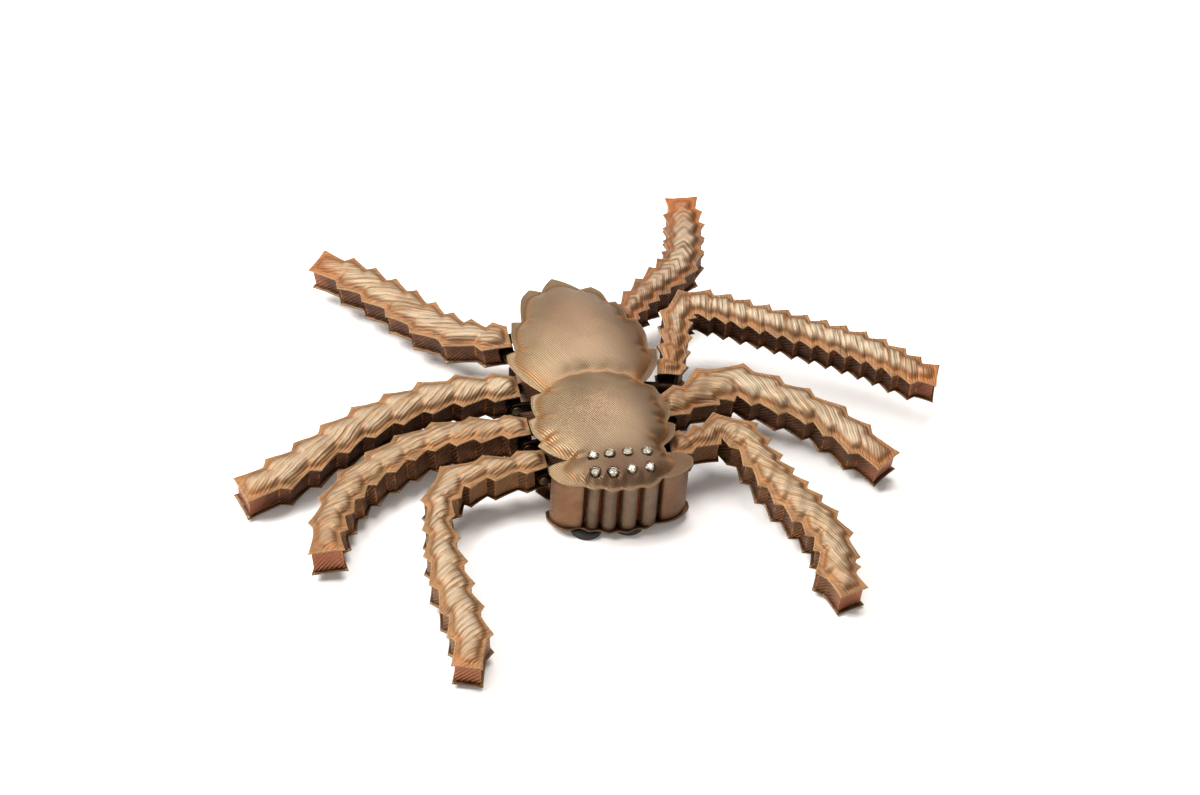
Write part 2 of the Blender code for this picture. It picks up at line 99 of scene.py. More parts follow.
# line of the wall below it, grooved across the brow
WALL_R = [(-1.0, 40.0), (7.6, 32.4), (13.4, 32.2), (17.0, 23.6), (20.6, 13.0),
          (24.8, 0.0), (26.2, -6.0), (24.6, -13.0), (17.4, -24.8), (21.4, -30.0),
          (23.8, -38.0), (23.2, -48.0), (22.0, -56.0), (17.0, -62.4), (17.6, -68.4),
          (25.8, -68.4), (28.2, -70.2), (27.8, -73.0), (24.8, -76.2), (20.6, -78.0),
          (17.4, -77.8)]
FLUTES = [(16.2, -75.4), (14.6, -79.4), (12.2, -81.0), (9.6, -80.4), (8.0, -77.6),
          (6.6, -80.6), (4.0, -81.8), (1.4, -80.8), (0.0, -77.6), (-1.2, -80.2),
          (-3.6, -81.2), (-5.8, -79.8), (-6.8, -77.0), (-7.8, -79.0), (-9.8, -79.8),
          (-11.6, -78.6), (-12.6, -75.4)]
WALL_L = [(-8.2, 33.4), (-13.4, 34.2), (-15.8, 28.0), (-17.4, 17.4), (-20.8, 15.0),
          (-22.2, 6.0), (-25.6, -4.0), (-24.2, -13.0), (-16.8, -25.0), (-21.2, -30.0),
          (-23.6, -39.0), (-23.6, -48.0), (-21.6, -57.0), (-15.0, -63.2),
          (-15.8, -68.6), (-23.6, -68.8), (-24.6, -72.0), (-22.4, -75.6), (-18.6, -77.6),
          (-14.0, -77.8)]
CREASE = [(-19.6, -25.2), (-13.0, -20.8), (-5.0, -18.0), (4.0, -17.8), (13.0, -20.2),
          (20.4, -24.8)]
EYES = [(-8.8, -68.6), (-2.6, -69.0), (4.4, -69.0), (12.0, -68.8),
        (-9.4, -76.0), (-2.8, -77.4), (4.4, -77.0), (11.6, -76.2)]
FEET = [(-11.2, -75.4), (5.2, -75.2), (-11.0, 22.0), (11.0, 20.0)]

# name: body it rides on, hinge centre, (heading, droop, roll) in degrees, bracket,
# teeth on each edge, grain ("plane", "rope" or "chevron", angle, pitch), reddening,
# painted light on the band, wear of the crown at its root and further out (low wear
# also paints shade at the root), stations of the centre line (x, y, half width)
LEGS = {
    "left_1": ("left rear leg", (-25.5, 15.0, 17.0), (180, 11, -8), "ears", (7, 9),
               ("plane", -22, 2.3), 0.45, 0.15, (0.75, 0.7),
               [(-2, -1.4, 6.5), (10, -5.5, 7.9), (20, -11.5, 8.7), (28, -20, 9.1),
                (35, -30, 9.1), (44, -42, 8.7), (55, -55, 8.5), (66, -66, 6.1)]),
    "left_2": ("left third leg", (-28.5, -15.4, 17.0), (180, 2, -10), "ears", (9, 9),
               ("plane", 44, 2.7), 0.15, 0.1, (0.85, 0.7),
               [(-2, -1.5, 5.7), (14, -2.8, 8.2), (28, -2.4, 8.6), (42, 0.6, 8.8),
                (55, 5.0, 9.0), (68, 10.8, 9.0), (84, 20.4, 8.8), (100, 29, 8.8),
                (112, 33, 6.6)]),
    "left_3": ("left second leg", (-28.5, -39.5, 17.0), (180, 7, 3), "ears", (11, 9),
               ("plane", 24, 2.5), 0.2, 0.35, (0.5, 0.55),
               [(-2, -1.0, 5.7), (12, -3.6, 8.1), (24, -5.4, 8.5), (36, -5.0, 8.7),
                (47, -1.4, 9.1), (58, 5, 8.9), (68, 12, 8.9), (75, 21, 8.5),
                (80, 31, 8.0), (83, 41, 7.9), (84, 50, 6.9)]),
    "left_4": ("left front leg", (-26.0, -57.5, 17.0), (180, 4, -4), "ears", (11, 10),
               ("plane", 28, 2.4), 0.2, 0.8, (0.5, 0.8),
               [(-2, -0.4, 5.1), (12, 0.4, 6.9), (24, 0.6, 7.5), (34, 3, 8.3),
                (40, 10, 7.7), (43, 19, 6.5), (44, 32, 7.1), (44.5, 46, 8.3),
                (43.7, 60, 8.3), (42, 74, 8.3), (42.4, 85, 8.3), (46, 96, 5.7)]),
    "right_1": ("right rear leg", (24.0, 21.0, 17.5), (25, -10, 7), "ears", (10, 11),
                ("chevron", 40, 3.3), 0.95, 0.1, (0.4, 0.8),
                [(-2, 1.0, 6.1), (10, 5.4, 7.3), (20, 7.5, 7.9), (29, 8.5, 8.7),
                 (38, 12, 8.9), (45, 19.5, 8.7), (51, 27.5, 8.7), (58, 38, 6.9)]),
    "right_2": ("right third leg", (32.2, -17.8, 17.3), (78, -13, 0), "boss", (18, 20),
                ("plane", 7, 2.2), 0.45, 0.1, (0.0, 1.0),
                [(2.9, -0.6, 5.3), (10.5, -2.1, 6.5), (22.5, -3.1, 6.9),
                 (32.5, -3.6, 7.3), (39, -8.6, 8.1), (38.3, -18.6, 7.9),
                 (34.3, -33.6, 7.9), (28.5, -53.6, 8.1), (23.5, -70.6, 8.2),
                 (18, -84.6, 8.3), (10.5, -98.6, 7.5), (8.5, -107.6, 5.5)]),
    "right_3": ("right second leg", (28.0, -34.0, 17.0), (0, 1, 11), "ears", (8, 9),
                ("rope", -36, 2.5), 0.3, 0.25, (0.2, 0.9),
                [(-2, 1.0, 6.2), (10, 4.7, 8.4), (20, 9.6, 10.3), (30, 10.5, 9.9),
                 (38, 6.5, 9.9), (50, -1, 9.1), (61, -8.5, 8.9), (68.5, -18, 9.1),
                 (76, -27, 8.5), (82, -35, 6.5)]),
    "right_4": ("right front leg", (26.0, -56.5, 17.0), (0, 0, 8), "ears", (14, 12),
                ("rope", 26, 2.4), 0.15, 0.5, (0.2, 0.6),
                [(-2, 0.6, 5.9), (10, 2.6, 6.7), (19, 7, 7.7), (26, 6.5, 8.5),
                 (30.5, -5, 8.3), (34.5, -17, 8.7), (41, -31, 9.3), (48.5, -46, 9.1),
                 (50, -57, 8.9), (48.5, -67, 9.1), (52, -79, 5.9)]),
}


# ------------------------------------------------------------------ materials

def color(r, g, b):
    """8-bit display colour as linear RGBA."""
    return tuple((c / 255 / 12.92) if c <= 10 else ((c / 255 + 0.055) / 1.055) ** 2.4
                 for c in (r, g, b)) + (1.0,)


class Finish:
    """A Principled material and short calls for building its nodes."""

    def __init__(self, name, rough, metal):
        self.mat = bpy.data.materials.new(name)
        self.mat.use_nodes = True
        self.tree = self.mat.node_tree
        self.shader = self.tree.nodes["Principled BSDF"]
        self.shader.inputs["Roughness"].default_value = rough
        self.shader.inputs["Metallic"].default_value = metal

    def put(self, socket, value):
        """Links a socket, or sets it to a number, a linear RGBA or an 8-bit colour."""
        if isinstance(value, bpy.types.NodeSocket):
            self.tree.links.new(value, socket)
        else:
            is_rgb = isinstance(value, tuple) and len(value) == 3
            socket.default_value = color(*value) if is_rgb else value

    def math(self, kind, a, b=0.0, clamp=False):
        node = self.tree.nodes.new("ShaderNodeMath")
        node.operation, node.use_clamp = kind, clamp
        for socket, value in zip(node.inputs, (a, b)):
            self.put(socket, value)
        return node.outputs[0]

    def times(self, a, b, clamp=False):
        return self.math("MULTIPLY", a, b, clamp=clamp)

    def plus(self, a, b):
        return self.math("ADD", a, b)

    def spot(self):
        """Place on the object, in metres."""
        return self.tree.nodes.new("ShaderNodeTexCoord").outputs["Object"]

    def split(self, name):
        """The three numbers of a mesh attribute."""
        node = self.tree.nodes.new("ShaderNodeAttribute")
        node.attribute_name = name
        parts = self.tree.nodes.new("ShaderNodeSeparateXYZ")
        self.tree.links.new(node.outputs["Vector"], parts.inputs[0])
        return parts.outputs

    def vector(self, x, y=0.0, z=0.0):
        node = self.tree.nodes.new("ShaderNodeCombineXYZ")
        for socket, value in zip(node.inputs, (x, y, z)):
            self.put(socket, value)
        return node.outputs[0]

    def noise(self, vector, scale=1.0, detail=4.0, rough=0.5, warp=0.0):
        node = self.tree.nodes.new("ShaderNodeTexNoise")
        self.put(node.inputs["Vector"], vector)
        for key, value in (("Scale", scale), ("Detail", detail), ("Roughness", rough),
                           ("Distortion", warp)):
            node.inputs[key].default_value = value
        return node.outputs[0]

    def step(self, value, low, high):
        """Smooth 0 to 1 as value goes from low to high, either way round."""
        node = self.tree.nodes.new("ShaderNodeMapRange")
        node.interpolation_type = "SMOOTHSTEP"
        for socket, number in zip(node.inputs, (value, low, high, 0.0, 1.0)):
            self.put(socket, number)
        return node.outputs[0]

    def mix(self, share, a, b):
        node = self.tree.nodes.new("ShaderNodeMix")
        node.data_type = "RGBA"
        for socket, value in ((node.inputs[0], share), (node.inputs[6], a),
                              (node.inputs[7], b)):
            self.put(socket, value)
        return node.outputs[2]

    def tint(self, base, mask, strength, rgb):
        """The base colour, partly replaced by another where the mask is high."""
        return self.mix(self.times(mask, strength), base, rgb)

    def bump(self, height, distance, below=None):
        node = self.tree.nodes.new("ShaderNodeBump")
        node.inputs["Distance"].default_value = distance * MM
        self.put(node.inputs["Height"], height)
        if below is not None:
            self.put(node.inputs["Normal"], below)
        return node.outputs[0]

    def finish(self, base, rough=None, normal=None):
        self.put(self.shader.inputs["Base Color"], base)
        if rough is not None:
            self.put(self.shader.inputs["Roughness"], rough)
        if normal is not None:
            self.put(self.shader.inputs["Normal"], normal)
        return self.mat


def leg_top_finish():
    """Ribbed tan-brown patina, rubbed to bare grey on the crown, gold in the creases; painted
    shade at the crown's foot and the leg roots, painted highlight on the rim.
    """
    f = Finish("ribbed_copper", 0.4, 0.6)
    across, along, red = f.split("grain")
    edge, crown, rib = f.split("shape")
    pucker, tip, wear_and_root_shade = f.split("tones")
    fine = f.noise(f.vector(f.times(across, 2.2), f.times(along, 0.06), red), 1.0, 5, 0.65, 0.2)
    broad = f.noise(f.vector(f.times(across, 0.45), f.times(along, 0.05), red), 1.0, 3)
    cloud = f.noise(f.vector(across, along, red), 0.11, 3, 0.6)
    tan = f.mix(f.step(cloud, 0.35, 0.65), (124, 92, 58), (154, 122, 84))
    tan = f.tint(tan, red, 0.8, (88, 54, 38))
    flange = f.step(crown, 0.4, 0.1)
    paler = f.math("SUBTRACT", 0.55, f.times(red, 0.5))
    tan = f.tint(tan, flange, paler, (124, 88, 52))
    # painted shade at the roots of the legs that lie in the body's shade, and a darker tan where
    # the crown is little rubbed
    tan = f.tint(tan, f.step(wear_and_root_shade, 0.6, 0.0), 0.55, (118, 80, 48))
    tip_gold = f.times(f.math("SUBTRACT", red, 0.1), 2.0, clamp=True)
    tip_gold = f.times(f.times(tip, tip_gold), 0.75)
    tan = f.mix(tip_gold, tan, (156, 86, 30))
    crown_wear_and_shade = f.times(f.step(crown, 0.3, 0.85),
                   f.step(f.plus(broad, f.times(rib, 0.1)), 0.3, 0.56))
    crown_wear_and_shade = f.times(crown_wear_and_shade, f.math("SUBTRACT", 1.0, f.times(tip_gold, 0.8)))
    crown_wear_and_shade = f.times(crown_wear_and_shade, wear_and_root_shade)
    calm = f.math("SUBTRACT", 1.0, f.times(crown_wear_and_shade, 0.7))
    base = f.mix(crown_wear_and_shade, tan, (170, 153, 128))
    # painted shade along the foot of the crown, between flange and crown
    foot = f.times(f.step(crown, 0.02, 0.14), f.step(crown, 0.55, 0.25))
    base = f.tint(base, foot, 0.3, (96, 66, 42))
    crease = f.times(f.step(edge, 0.8, 1.5), f.step(crown, 0.6, 0.2))
    crease = f.times(crease, f.step(cloud, 0.4, 0.62))
    crease = f.math("MAXIMUM", crease, f.times(pucker, 0.7))
    gold = f.plus(0.4, f.times(red, 0.1))
    base = f.tint(base, crease, gold, (172, 98, 38))
    wander = f.noise(f.vector(across, along, red), 0.3, 3)
    thread = f.math("SINE", f.plus(f.times(across, 5.6), f.times(wander, 7.0)))
    thread_mark = f.times(f.step(thread, 0.1, -0.9), 0.18)
    base = f.tint(base, thread_mark, calm, (110, 74, 44))
    groove = f.times(f.step(fine, 0.48, 0.35), 0.56)
    base = f.tint(base, groove, calm, (106, 68, 42))
    shine = f.times(f.step(fine, 0.57, 0.7), 0.3)
    base = f.mix(shine, base, (212, 192, 162))
    dip = f.times(f.step(rib, 0.0, -0.9), 0.26)
    base = f.mix(dip, base, (138, 104, 74))
    # painted highlight on the rim of the plate
    base = f.tint(base, f.step(edge, 0.4, 0.1), 0.35, (190, 154, 110))
    rough = f.plus(0.48, f.times(fine, 0.2))
    normal = f.bump(f.times(thread, 0.5), 0.09, f.bump(fine, 0.16))
    return f.finish(base, rough, f.bump(broad, 0.4, normal))


def leg_wall_finish():
    """Dark folded band: diagonal ribs, copper lines in the folds, painted light set for each
    leg, a painted highlight along the lower edge.
    """
    f = Finish("folded_wall", 0.42, 0.85)
    run, height, red = f.split("grain")
    fold, up, tip = f.split("shape")
    lit = f.split("tones")[0]
    slant = f.plus(run, height)
    wobble = f.noise(f.vector(slant, height, red), 0.25, 3)
    phase = f.plus(f.times(slant, 3.3), f.times(wobble, 4.0))
    rib = f.math("SINE", phase)
    cloud = f.noise(f.vector(run, height, red), 0.16, 4, 0.6)
    base = f.mix(f.step(cloud, 0.35, 0.7), (52, 30, 17), (104, 64, 38))
    base = f.tint(base, f.step(cloud, 0.62, 0.42), 0.4, (76, 42, 30))
    # painted light on the band panels, its strength set for each leg
    base = f.tint(base, lit, 0.55, (156, 116, 78))
    base = f.tint(base, f.step(rib, -0.2, -1.0), 0.4, (36, 20, 12))
    base = f.tint(base, tip, 0.6, (158, 96, 70))
    copper = f.times(f.step(fold, 0.45, 0.05), f.step(cloud, 0.4, 0.6))
    base = f.tint(base, copper, 0.7, (190, 116, 56))
    # painted highlight along the lower edge of the band
    foot = f.step(up, 0.08, 0.0)
    base = f.tint(base, foot, 0.6, (186, 124, 60))
    scratch = f.noise(f.vector(f.times(slant, 3.0), f.times(height, 0.3), red), 1.0, 4, 0.7)
    normal = f.bump(f.times(rib, 0.5), 0.22)
    return f.finish(base, f.plus(0.3, f.times(scratch, 0.25)), f.bump(scratch, 0.12, normal))


def bottom_finish():
    """Dark brown plate with a brassy rim."""
    f = Finish("dark_plate", 0.4, 0.75)
    x, y, _ = f.split("plane")
    edge, _, _ = f.split("shape")
    cloud = f.noise(f.vector(x, y), 0.14, 4, 0.6)
    streak = f.noise(f.vector(f.times(x, 1.4), f.times(y, 0.12)), 1.0, 5, 0.6)
    base = f.mix(f.step(cloud, 0.35, 0.65), (58, 38, 28), (92, 64, 44))
    base = f.tint(base, f.step(streak, 0.5, 0.35), 0.5, (36, 22, 16))
    base = f.mix(f.step(edge, 0.35, 0.05), base, (104, 78, 50))
    return f.finish(base, f.plus(0.3, f.times(streak, 0.2)), f.bump(streak, 0.12))


def twill(f, across, other):
    """Fine diagonal ribs 0.8 mm apart, slightly uneven."""
    drift = f.noise(f.vector(across, other), 0.08, 2)
    phase = f.plus(f.times(across, 2 * math.pi / 0.8), f.times(drift, 9.0))
    return f.math("SINE", phase)


def carapace_finish():
    """Tan-grey patina with a fine twill, orange at the creases, brown round the eyes; painted
    shade on the right, painted light on the left of the abdomen, painted highlight on the rim.
    """
    f = Finish("twill_shell", 0.42, 0.6)
    x, y, _ = f.split("plane")
    edge, crown, crease = f.split("shape")
    pink, dark, pucker = f.split("tones")
    across = f.plus(f.times(x, 0.883), f.times(y, 0.469))
    lines = twill(f, across, y)
    cloud = f.noise(f.vector(x, y), 0.045, 4, 0.6)
    spot = f.noise(f.vector(x, y), 0.4, 3, 0.6)
    base = f.mix(f.step(cloud, 0.35, 0.65), (126, 106, 80), (148, 124, 96))
    base = f.tint(base, pink, 0.5, (150, 112, 86))
    flange = f.step(crown, 0.2, 0.02)
    base = f.tint(base, flange, 0.85, (110, 88, 60))
    # painted shade on the right side of the shell
    right = f.step(f.plus(x, f.times(cloud, 8.0)), 6.0, 28.0)
    base = f.tint(base, right, 0.85, (76, 52, 30))
    base = f.tint(base, f.step(y, 14.0, 44.0), 0.5, (112, 88, 62))
    # painted light on the left of the abdomen
    left = f.times(f.step(x, -4.0, -20.0), f.step(y, 14.0, -6.0))
    base = f.tint(base, left, 0.45, (182, 152, 114))
    base = f.tint(base, crease, 0.7, (160, 106, 52))
    base = f.tint(base, pucker, 0.7, (164, 98, 38))
    base = f.tint(base, dark, 0.92, (78, 50, 32))
    base = f.tint(base, f.step(lines, 0.3, -0.9), 0.48, (78, 56, 36))
    # painted highlight on the rim
    base = f.tint(base, f.step(edge, 0.5, 0.1), 0.5, (160, 134, 94))
    base = f.tint(base, f.step(spot, 0.6, 0.75), 0.12, (70, 50, 36))
    rough = f.plus(0.36, f.times(cloud, 0.16))
    normal = f.bump(lines, 0.11)
    return f.finish(base, rough, f.bump(spot, 0.08, normal))


def body_wall_finish():
    """Flutes grey on their crowns, copper in the grooves, twilled like the shell; painted shade
    on the flute sides, at the top and foot of the wall and on its right side.
    """
    f = Finish("fluted_wall", 0.42, 0.65)
    run, height, side = f.split("grain")
    groove, up, front = f.split("shape")
    across = f.plus(f.times(run, 0.64), f.times(height, 0.77))
    lines = twill(f, across, height)
    cloud = f.noise(f.vector(run, height), 0.1, 4, 0.6)
    warm = f.mix(f.step(cloud, 0.3, 0.7), (122, 84, 56), (146, 108, 76))
    grey = f.mix(f.step(cloud, 0.3, 0.7), (92, 74, 58), (118, 98, 78))
    # painted shade on the right side of the wall
    warm = f.tint(warm, f.step(side, 15.0, 21.0), 0.5, (76, 54, 38))
    base = f.mix(front, warm, grey)
    # painted shade on the flute sides towards the grooves
    base = f.tint(base, f.step(groove, 3.4, 1.0), front, (112, 72, 44))
    base = f.tint(base, f.step(groove, 0.7, 0.15), front, (214, 126, 48))
    # painted shade at the top of the wall under the shell's edge and at its foot
    base = f.tint(base, f.step(up, 0.86, 1.0), 0.6, (72, 48, 34))
    base = f.tint(base, f.step(up, 0.14, 0.0), 0.7, (74, 46, 30))
    base = f.tint(base, f.step(lines, 0.2, -1.0), 0.34, (78, 54, 38))
    return f.finish(base, f.plus(0.34, f.times(cloud, 0.18)), f.bump(lines, 0.05))


def metal_finish(name, light, shade, rough, scale):
    """Plain bright metal with handling marks."""
    f = Finish(name, rough, 1.0)
    spot = f.spot()
    marks = f.noise(spot, scale, 5, 0.65)
    base = f.mix(f.step(marks, 0.35, 0.65), shade, light)
    return f.finish(base, f.plus(rough - 0.08, f.times(marks, 0.16)), f.bump(marks, 0.03))


def rubber_finish():
    """Black rubber with fine grain and some dust."""
    f = Finish("black_rubber", 0.6, 0.0)
    spot = f.spot()
    grain = f.noise(spot, 900.0, 4, 0.6)
    dust = f.noise(spot, 160.0, 3)
    base = f.mix(f.step(dust, 0.45, 0.75), (20, 20, 21), (38, 37, 36))
    return f.finish(base, f.plus(0.5, f.times(dust, 0.3)), f.bump(grain, 0.06))


def stone_finish():
    """Clear stone with a faint haze."""
    f = Finish("clear_stone", 0.02, 0.0)
    f.shader.inputs["Transmission Weight"].default_value = 0.75
    f.shader.inputs["IOR"].default_value = 1.9
    spot = f.spot()
    haze = f.noise(spot, 700.0, 2)
    return f.finish(f.mix(haze, (250, 244, 228), (230, 224, 212)))


# ------------------------------------------------------------------ mesh tools

def add(obj):
    bpy.context.scene.collection.objects.link(obj)
    return obj


def place(name, verts, faces, finish, body, matrix=Matrix(), attributes=None,
          source=slice(None), smooth=60.0, stands_for=(), slot=None):
    """Makes a piece from points in mm and puts it on its body.

    An attribute is three arrays or numbers; source says which row each point takes.
    """
    mesh = bpy.data.meshes.new(name)
    mesh.from_pydata([(float(x) * MM, float(y) * MM, float(z) * MM) for x, y, z in verts],
                     [], [tuple(int(i) for i in face) for face in faces])
    mesh.transform(Matrix.Translation(SHIFT * MM) @ matrix)
    mesh.materials.append(finish)
    for key, parts in (attributes or {}).items():
        rows = np.column_stack(np.broadcast_arrays(*parts))[source]
        layer = mesh.attributes.new(key, "FLOAT_VECTOR", "POINT")
        layer.data.foreach_set("vector", rows.astype(np.float32).ravel())
    mesh.validate()
    mesh.update()
    mesh.shade_smooth()
    mesh.set_sharp_from_angle(angle=math.radians(smooth))
    obj = add(bpy.data.objects.new(name, mesh))
    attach(obj, body)
    if stands_for:
        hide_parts(*stands_for)


def lathe(profile, sides, axis, centre):
    """Points and faces of a closed outline of (radius, height) turned round an axis."""
    verts, faces, rows = [], [], []
    for k in range(sides):
        a = 2 * math.pi * k / sides
        row = []
        for r, h in profile:
            u, v = r * math.cos(a) + centre[0], r * math.sin(a) + centre[1]
            row.append(len(verts))
            verts.append((u, v, h) if axis == "Z" else (u, h, v))
        rows.append(row)
    for a, b in zip(rows, rows[1:] + rows[:1]):
        for i in range(len(profile)):
            j = (i + 1) % len(profile)
            if profile[i][0] + profile[j][0] > 0:
                face = (a[i], b[i], b[j], a[j])
                faces.append(face if axis == "Z" else face[::-1])
    return verts, faces


def turned(name, profile, radius, finish, body, matrix=Matrix(), sides=36, axis="Y",
           centre=(0.0, 0.0), steps=3, **labels):
    """Places a turned piece with its corners rounded."""
    verts, faces = lathe(rounded(profile, radius, steps), sides, axis, centre)
    place(name, verts, faces, finish, body, matrix, **labels)


def rounded(points, radius, steps=3):
    """Closed outline with each corner cut back to an arc."""
    out = []
    n = len(points)
    for i in range(n):
        a, p, b = (Vector(points[k % n]) for k in (i - 1, i, i + 1))
        cut = min(radius, (a - p).length * 0.45, (b - p).length * 0.45)
        if p.x < 1e-6 or cut < 1e-6:
            out.append(tuple(p))
            continue
        start, end = p + (a - p).normalized() * cut, p + (b - p).normalized() * cut
        for k in range(steps + 1):
            t = k / steps
            out.append(tuple(start * (1 - t) ** 2 + p * 2 * t * (1 - t) + end * t ** 2))
    return out


def leafy(points):
    """Closed outline with its barbs kept sharp and the runs between them curved."""
    pts = [Vector(p) for p in points]
    n = len(pts)
    barb = []
    for i, p in enumerate(pts):
        turn = (p - pts[i - 1]).angle(pts[(i + 1) % n] - p)
        barb.append(turn > BARB_TURN and p.y > BROW_Y)
    first = barb.index(True)
    out, run = [], []
    for k in range(n + 1):
        i = (first + k) % n
        run.append(pts[i])
        if not barb[i] or len(run) < 2:
            continue
        if len(run) == 2:
            side = run[1] - run[0]
            out += [run[0] + side * t + Vector((-side.y, side.x)) * 0.2 * t * (1 - t)
                    for t in (0, 0.2, 0.4, 0.6, 0.8)]
        else:
            out += spline(run, 5)
        run = [pts[i]]
    return out


def divide(points, spacing, bow=0.0):
    """Closed outline cut into short runs; bow pushes each side out by a share of it."""
    out = []
    for p, q in zip(points, points[1:] + points[:1]):
        p, q = Vector(p), Vector(q)
        run = q - p
        steps = max(2, round(run.length / spacing))
        side = Vector((run.y, -run.x))
        for k in range(steps):
            t = k / steps
            out.append(p + run * t + side * bow * 4 * t * (1 - t))
    return out


def curve(a, b, c, d, t):
    """Smooth run from b to c between its neighbours a and d."""
    return 0.5 * (2 * b + (c - a) * t + (2 * a - 5 * b + 4 * c - d) * t ** 2
                  + (3 * b - a - 3 * c + d) * t ** 3)


def spline(points, steps):
    """Open smooth line through the points, without its last point."""
    pts = [Vector(p) for p in points]
    pts = [2 * pts[0] - pts[1]] + pts + [2 * pts[-1] - pts[-2]]
    return [curve(*four, k / steps) for four in zip(pts, pts[1:], pts[2:], pts[3:])
            for k in range(steps)]


def to_line(points, line, closed=True):
    """Distance of each point to a line."""
    a = np.array([tuple(p)[:2] for p in line], float)
    b = np.roll(a, -1, 0)
    if not closed:
        a, b = a[:-1], b[:-1]
    run = b - a
    size = (run ** 2).sum(1)
    size[size == 0] = 1e-12
    best = np.full(len(points), 1e9)
    for start in range(0, len(points), 4000):
        p = points[start:start + 4000, None, :]
        t = np.clip(((p - a) * run).sum(2) / size, 0, 1)
        gap = p - (a + t[..., None] * run)
        best[start:start + 4000] = np.sqrt((gap ** 2).sum(2)).min(1)
    return best


def inside(points, line):
    """Whether each point lies inside a closed line."""
    a = np.array([tuple(p)[:2] for p in line], float)
    b = np.roll(a, -1, 0)
    x, y = points[:, 0:1], points[:, 1:2]
    crosses = (a[:, 1] > y) != (b[:, 1] > y)
    rise = np.where(b[:, 1] == a[:, 1], 1e-12, b[:, 1] - a[:, 1])
    return (crosses & (x < (b[:, 0] - a[:, 0]) * (y - a[:, 1]) / rise + a[:, 0])).sum(1) % 2 == 1


def fill(rim, spacing, extra=()):
    """Even triangles inside a closed rim: points, triangles, links and rim size."""
    flat = np.array([tuple(p)[:2] for p in rim], float)
    lo, hi = flat.min(0), flat.max(0)
    rows = []
    for j, y in enumerate(np.arange(lo[1], hi[1], spacing * 0.866)):
        xs = np.arange(lo[0] + (j % 2) * spacing / 2, hi[0], spacing)
        rows.append(np.column_stack([xs, np.full(len(xs), y)]))
    grid = np.vstack(rows)
    grid = grid[inside(grid, rim)]
    grid = grid[to_line(grid, rim) > spacing * 0.6]
    if len(extra):
        grid = grid[to_line(grid, extra, closed=False) > spacing * 0.6]
        grid = np.vstack([np.array([tuple(p)[:2] for p in extra], float), grid])
    points = [Vector(p) for p in np.vstack([flat, grid])]
    n = len(flat)
    ring = [(i, (i + 1) % n) for i in range(n)]
    out = delaunay_2d_cdt(points, ring, [], 0, 1e-7)
    verts = np.array([tuple(p) for p in out[0]])
    tris = np.array([face for face in out[2] if len(face) == 3])
    mids = verts[tris].mean(1)
    tris = tris[inside(mids, rim)]
    a, b, c = verts[tris[:, 0]], verts[tris[:, 1]], verts[tris[:, 2]]
    area = (b[:, 0] - a[:, 0]) * (c[:, 1] - a[:, 1]) - (b[:, 1] - a[:, 1]) * (c[:, 0] - a[:, 0])
    tris[area < 0] = tris[area < 0][:, ::-1]
    links = np.vstack([tris[:, (0, 1)], tris[:, (1, 2)], tris[:, (2, 0)]])
    links = np.unique(np.sort(links, 1), axis=0)
    return verts, tris, links, n


def ramp(values, start, length):
    """0 before start, 1 from start + length on."""
    return np.clip((values - start) / length, 0, 1)


def soft_step(values, low, high):
    t = ramp(values, low, high - low)
    return t * t * (3 - 2 * t)


def bell(values, middle, width):
    return np.exp(-((values - middle) / width) ** 2)


def inflate(count, links, fixed, held, load):
    """Height of a membrane blown up over the mesh and held where fixed."""
    a, b = links.T
    degree = np.bincount(a, minlength=count) + np.bincount(b, minlength=count)

    def pull(u):
        out = degree * u - np.bincount(a, u[b], count) - np.bincount(b, u[a], count)
        out[fixed] = 0
        return out

    u = np.where(fixed, held, 0.0)
    r = np.where(fixed, 0.0, load) - pull(u)
    r[fixed] = 0
    p, size = r.copy(), r @ r
    for _ in range(600):
        q = pull(p)
        step = size / (p @ q)
        u += step * p
        r -= step * q
        new = r @ r
        if new < 1e-10 * load * load * count:
            break
        p = r + new / size * p
        size = new
    return u


def dome(u, low, full, power, soft):
    """Membrane heights as a crown: flat under low, 1 at full, steep at its foot."""
    t = np.clip((u - low) / (full - low), 0.0, 1.2)
    return ((t + soft) ** power - soft ** power) / ((1 + soft) ** power - soft ** power)


def smoothed(values, links, rounds):
    """Each value drawn towards its neighbours' mean, a few times."""
    a, b = links.T
    count = len(values)
    degree = np.bincount(a, minlength=count) + np.bincount(b, minlength=count)
    for _ in range(rounds):
        near = (np.bincount(a, values[b], count) + np.bincount(b, values[a], count)) / degree
        values = values * 0.4 + near * 0.6
    return values


def outward(loop):
    """Outward way at each point of a closed loop, and its sign: 1 anticlockwise."""
    along = np.roll(loop, -1, 0) - np.roll(loop, 1, 0)
    along /= np.linalg.norm(along, axis=1)[:, None] + 1e-12
    area = (loop[:, 0] * np.roll(loop[:, 1], -1) - np.roll(loop[:, 0], -1) * loop[:, 1]).sum()
    sign = 1 if area > 0 else -1
    return np.column_stack([along[:, 1], -along[:, 0]]) * sign, sign


def wrap(layers, n, flip):
    """Faces of closed layers of n points, the last one joined to the first."""
    faces = []
    for r in range(layers):
        s = (r + 1) % layers
        for i in range(n):
            j = (i + 1) % n
            quad = (r * n + i, r * n + j, s * n + j, s * n + i)
            faces.append(quad[::-1] if flip else quad)
    return faces


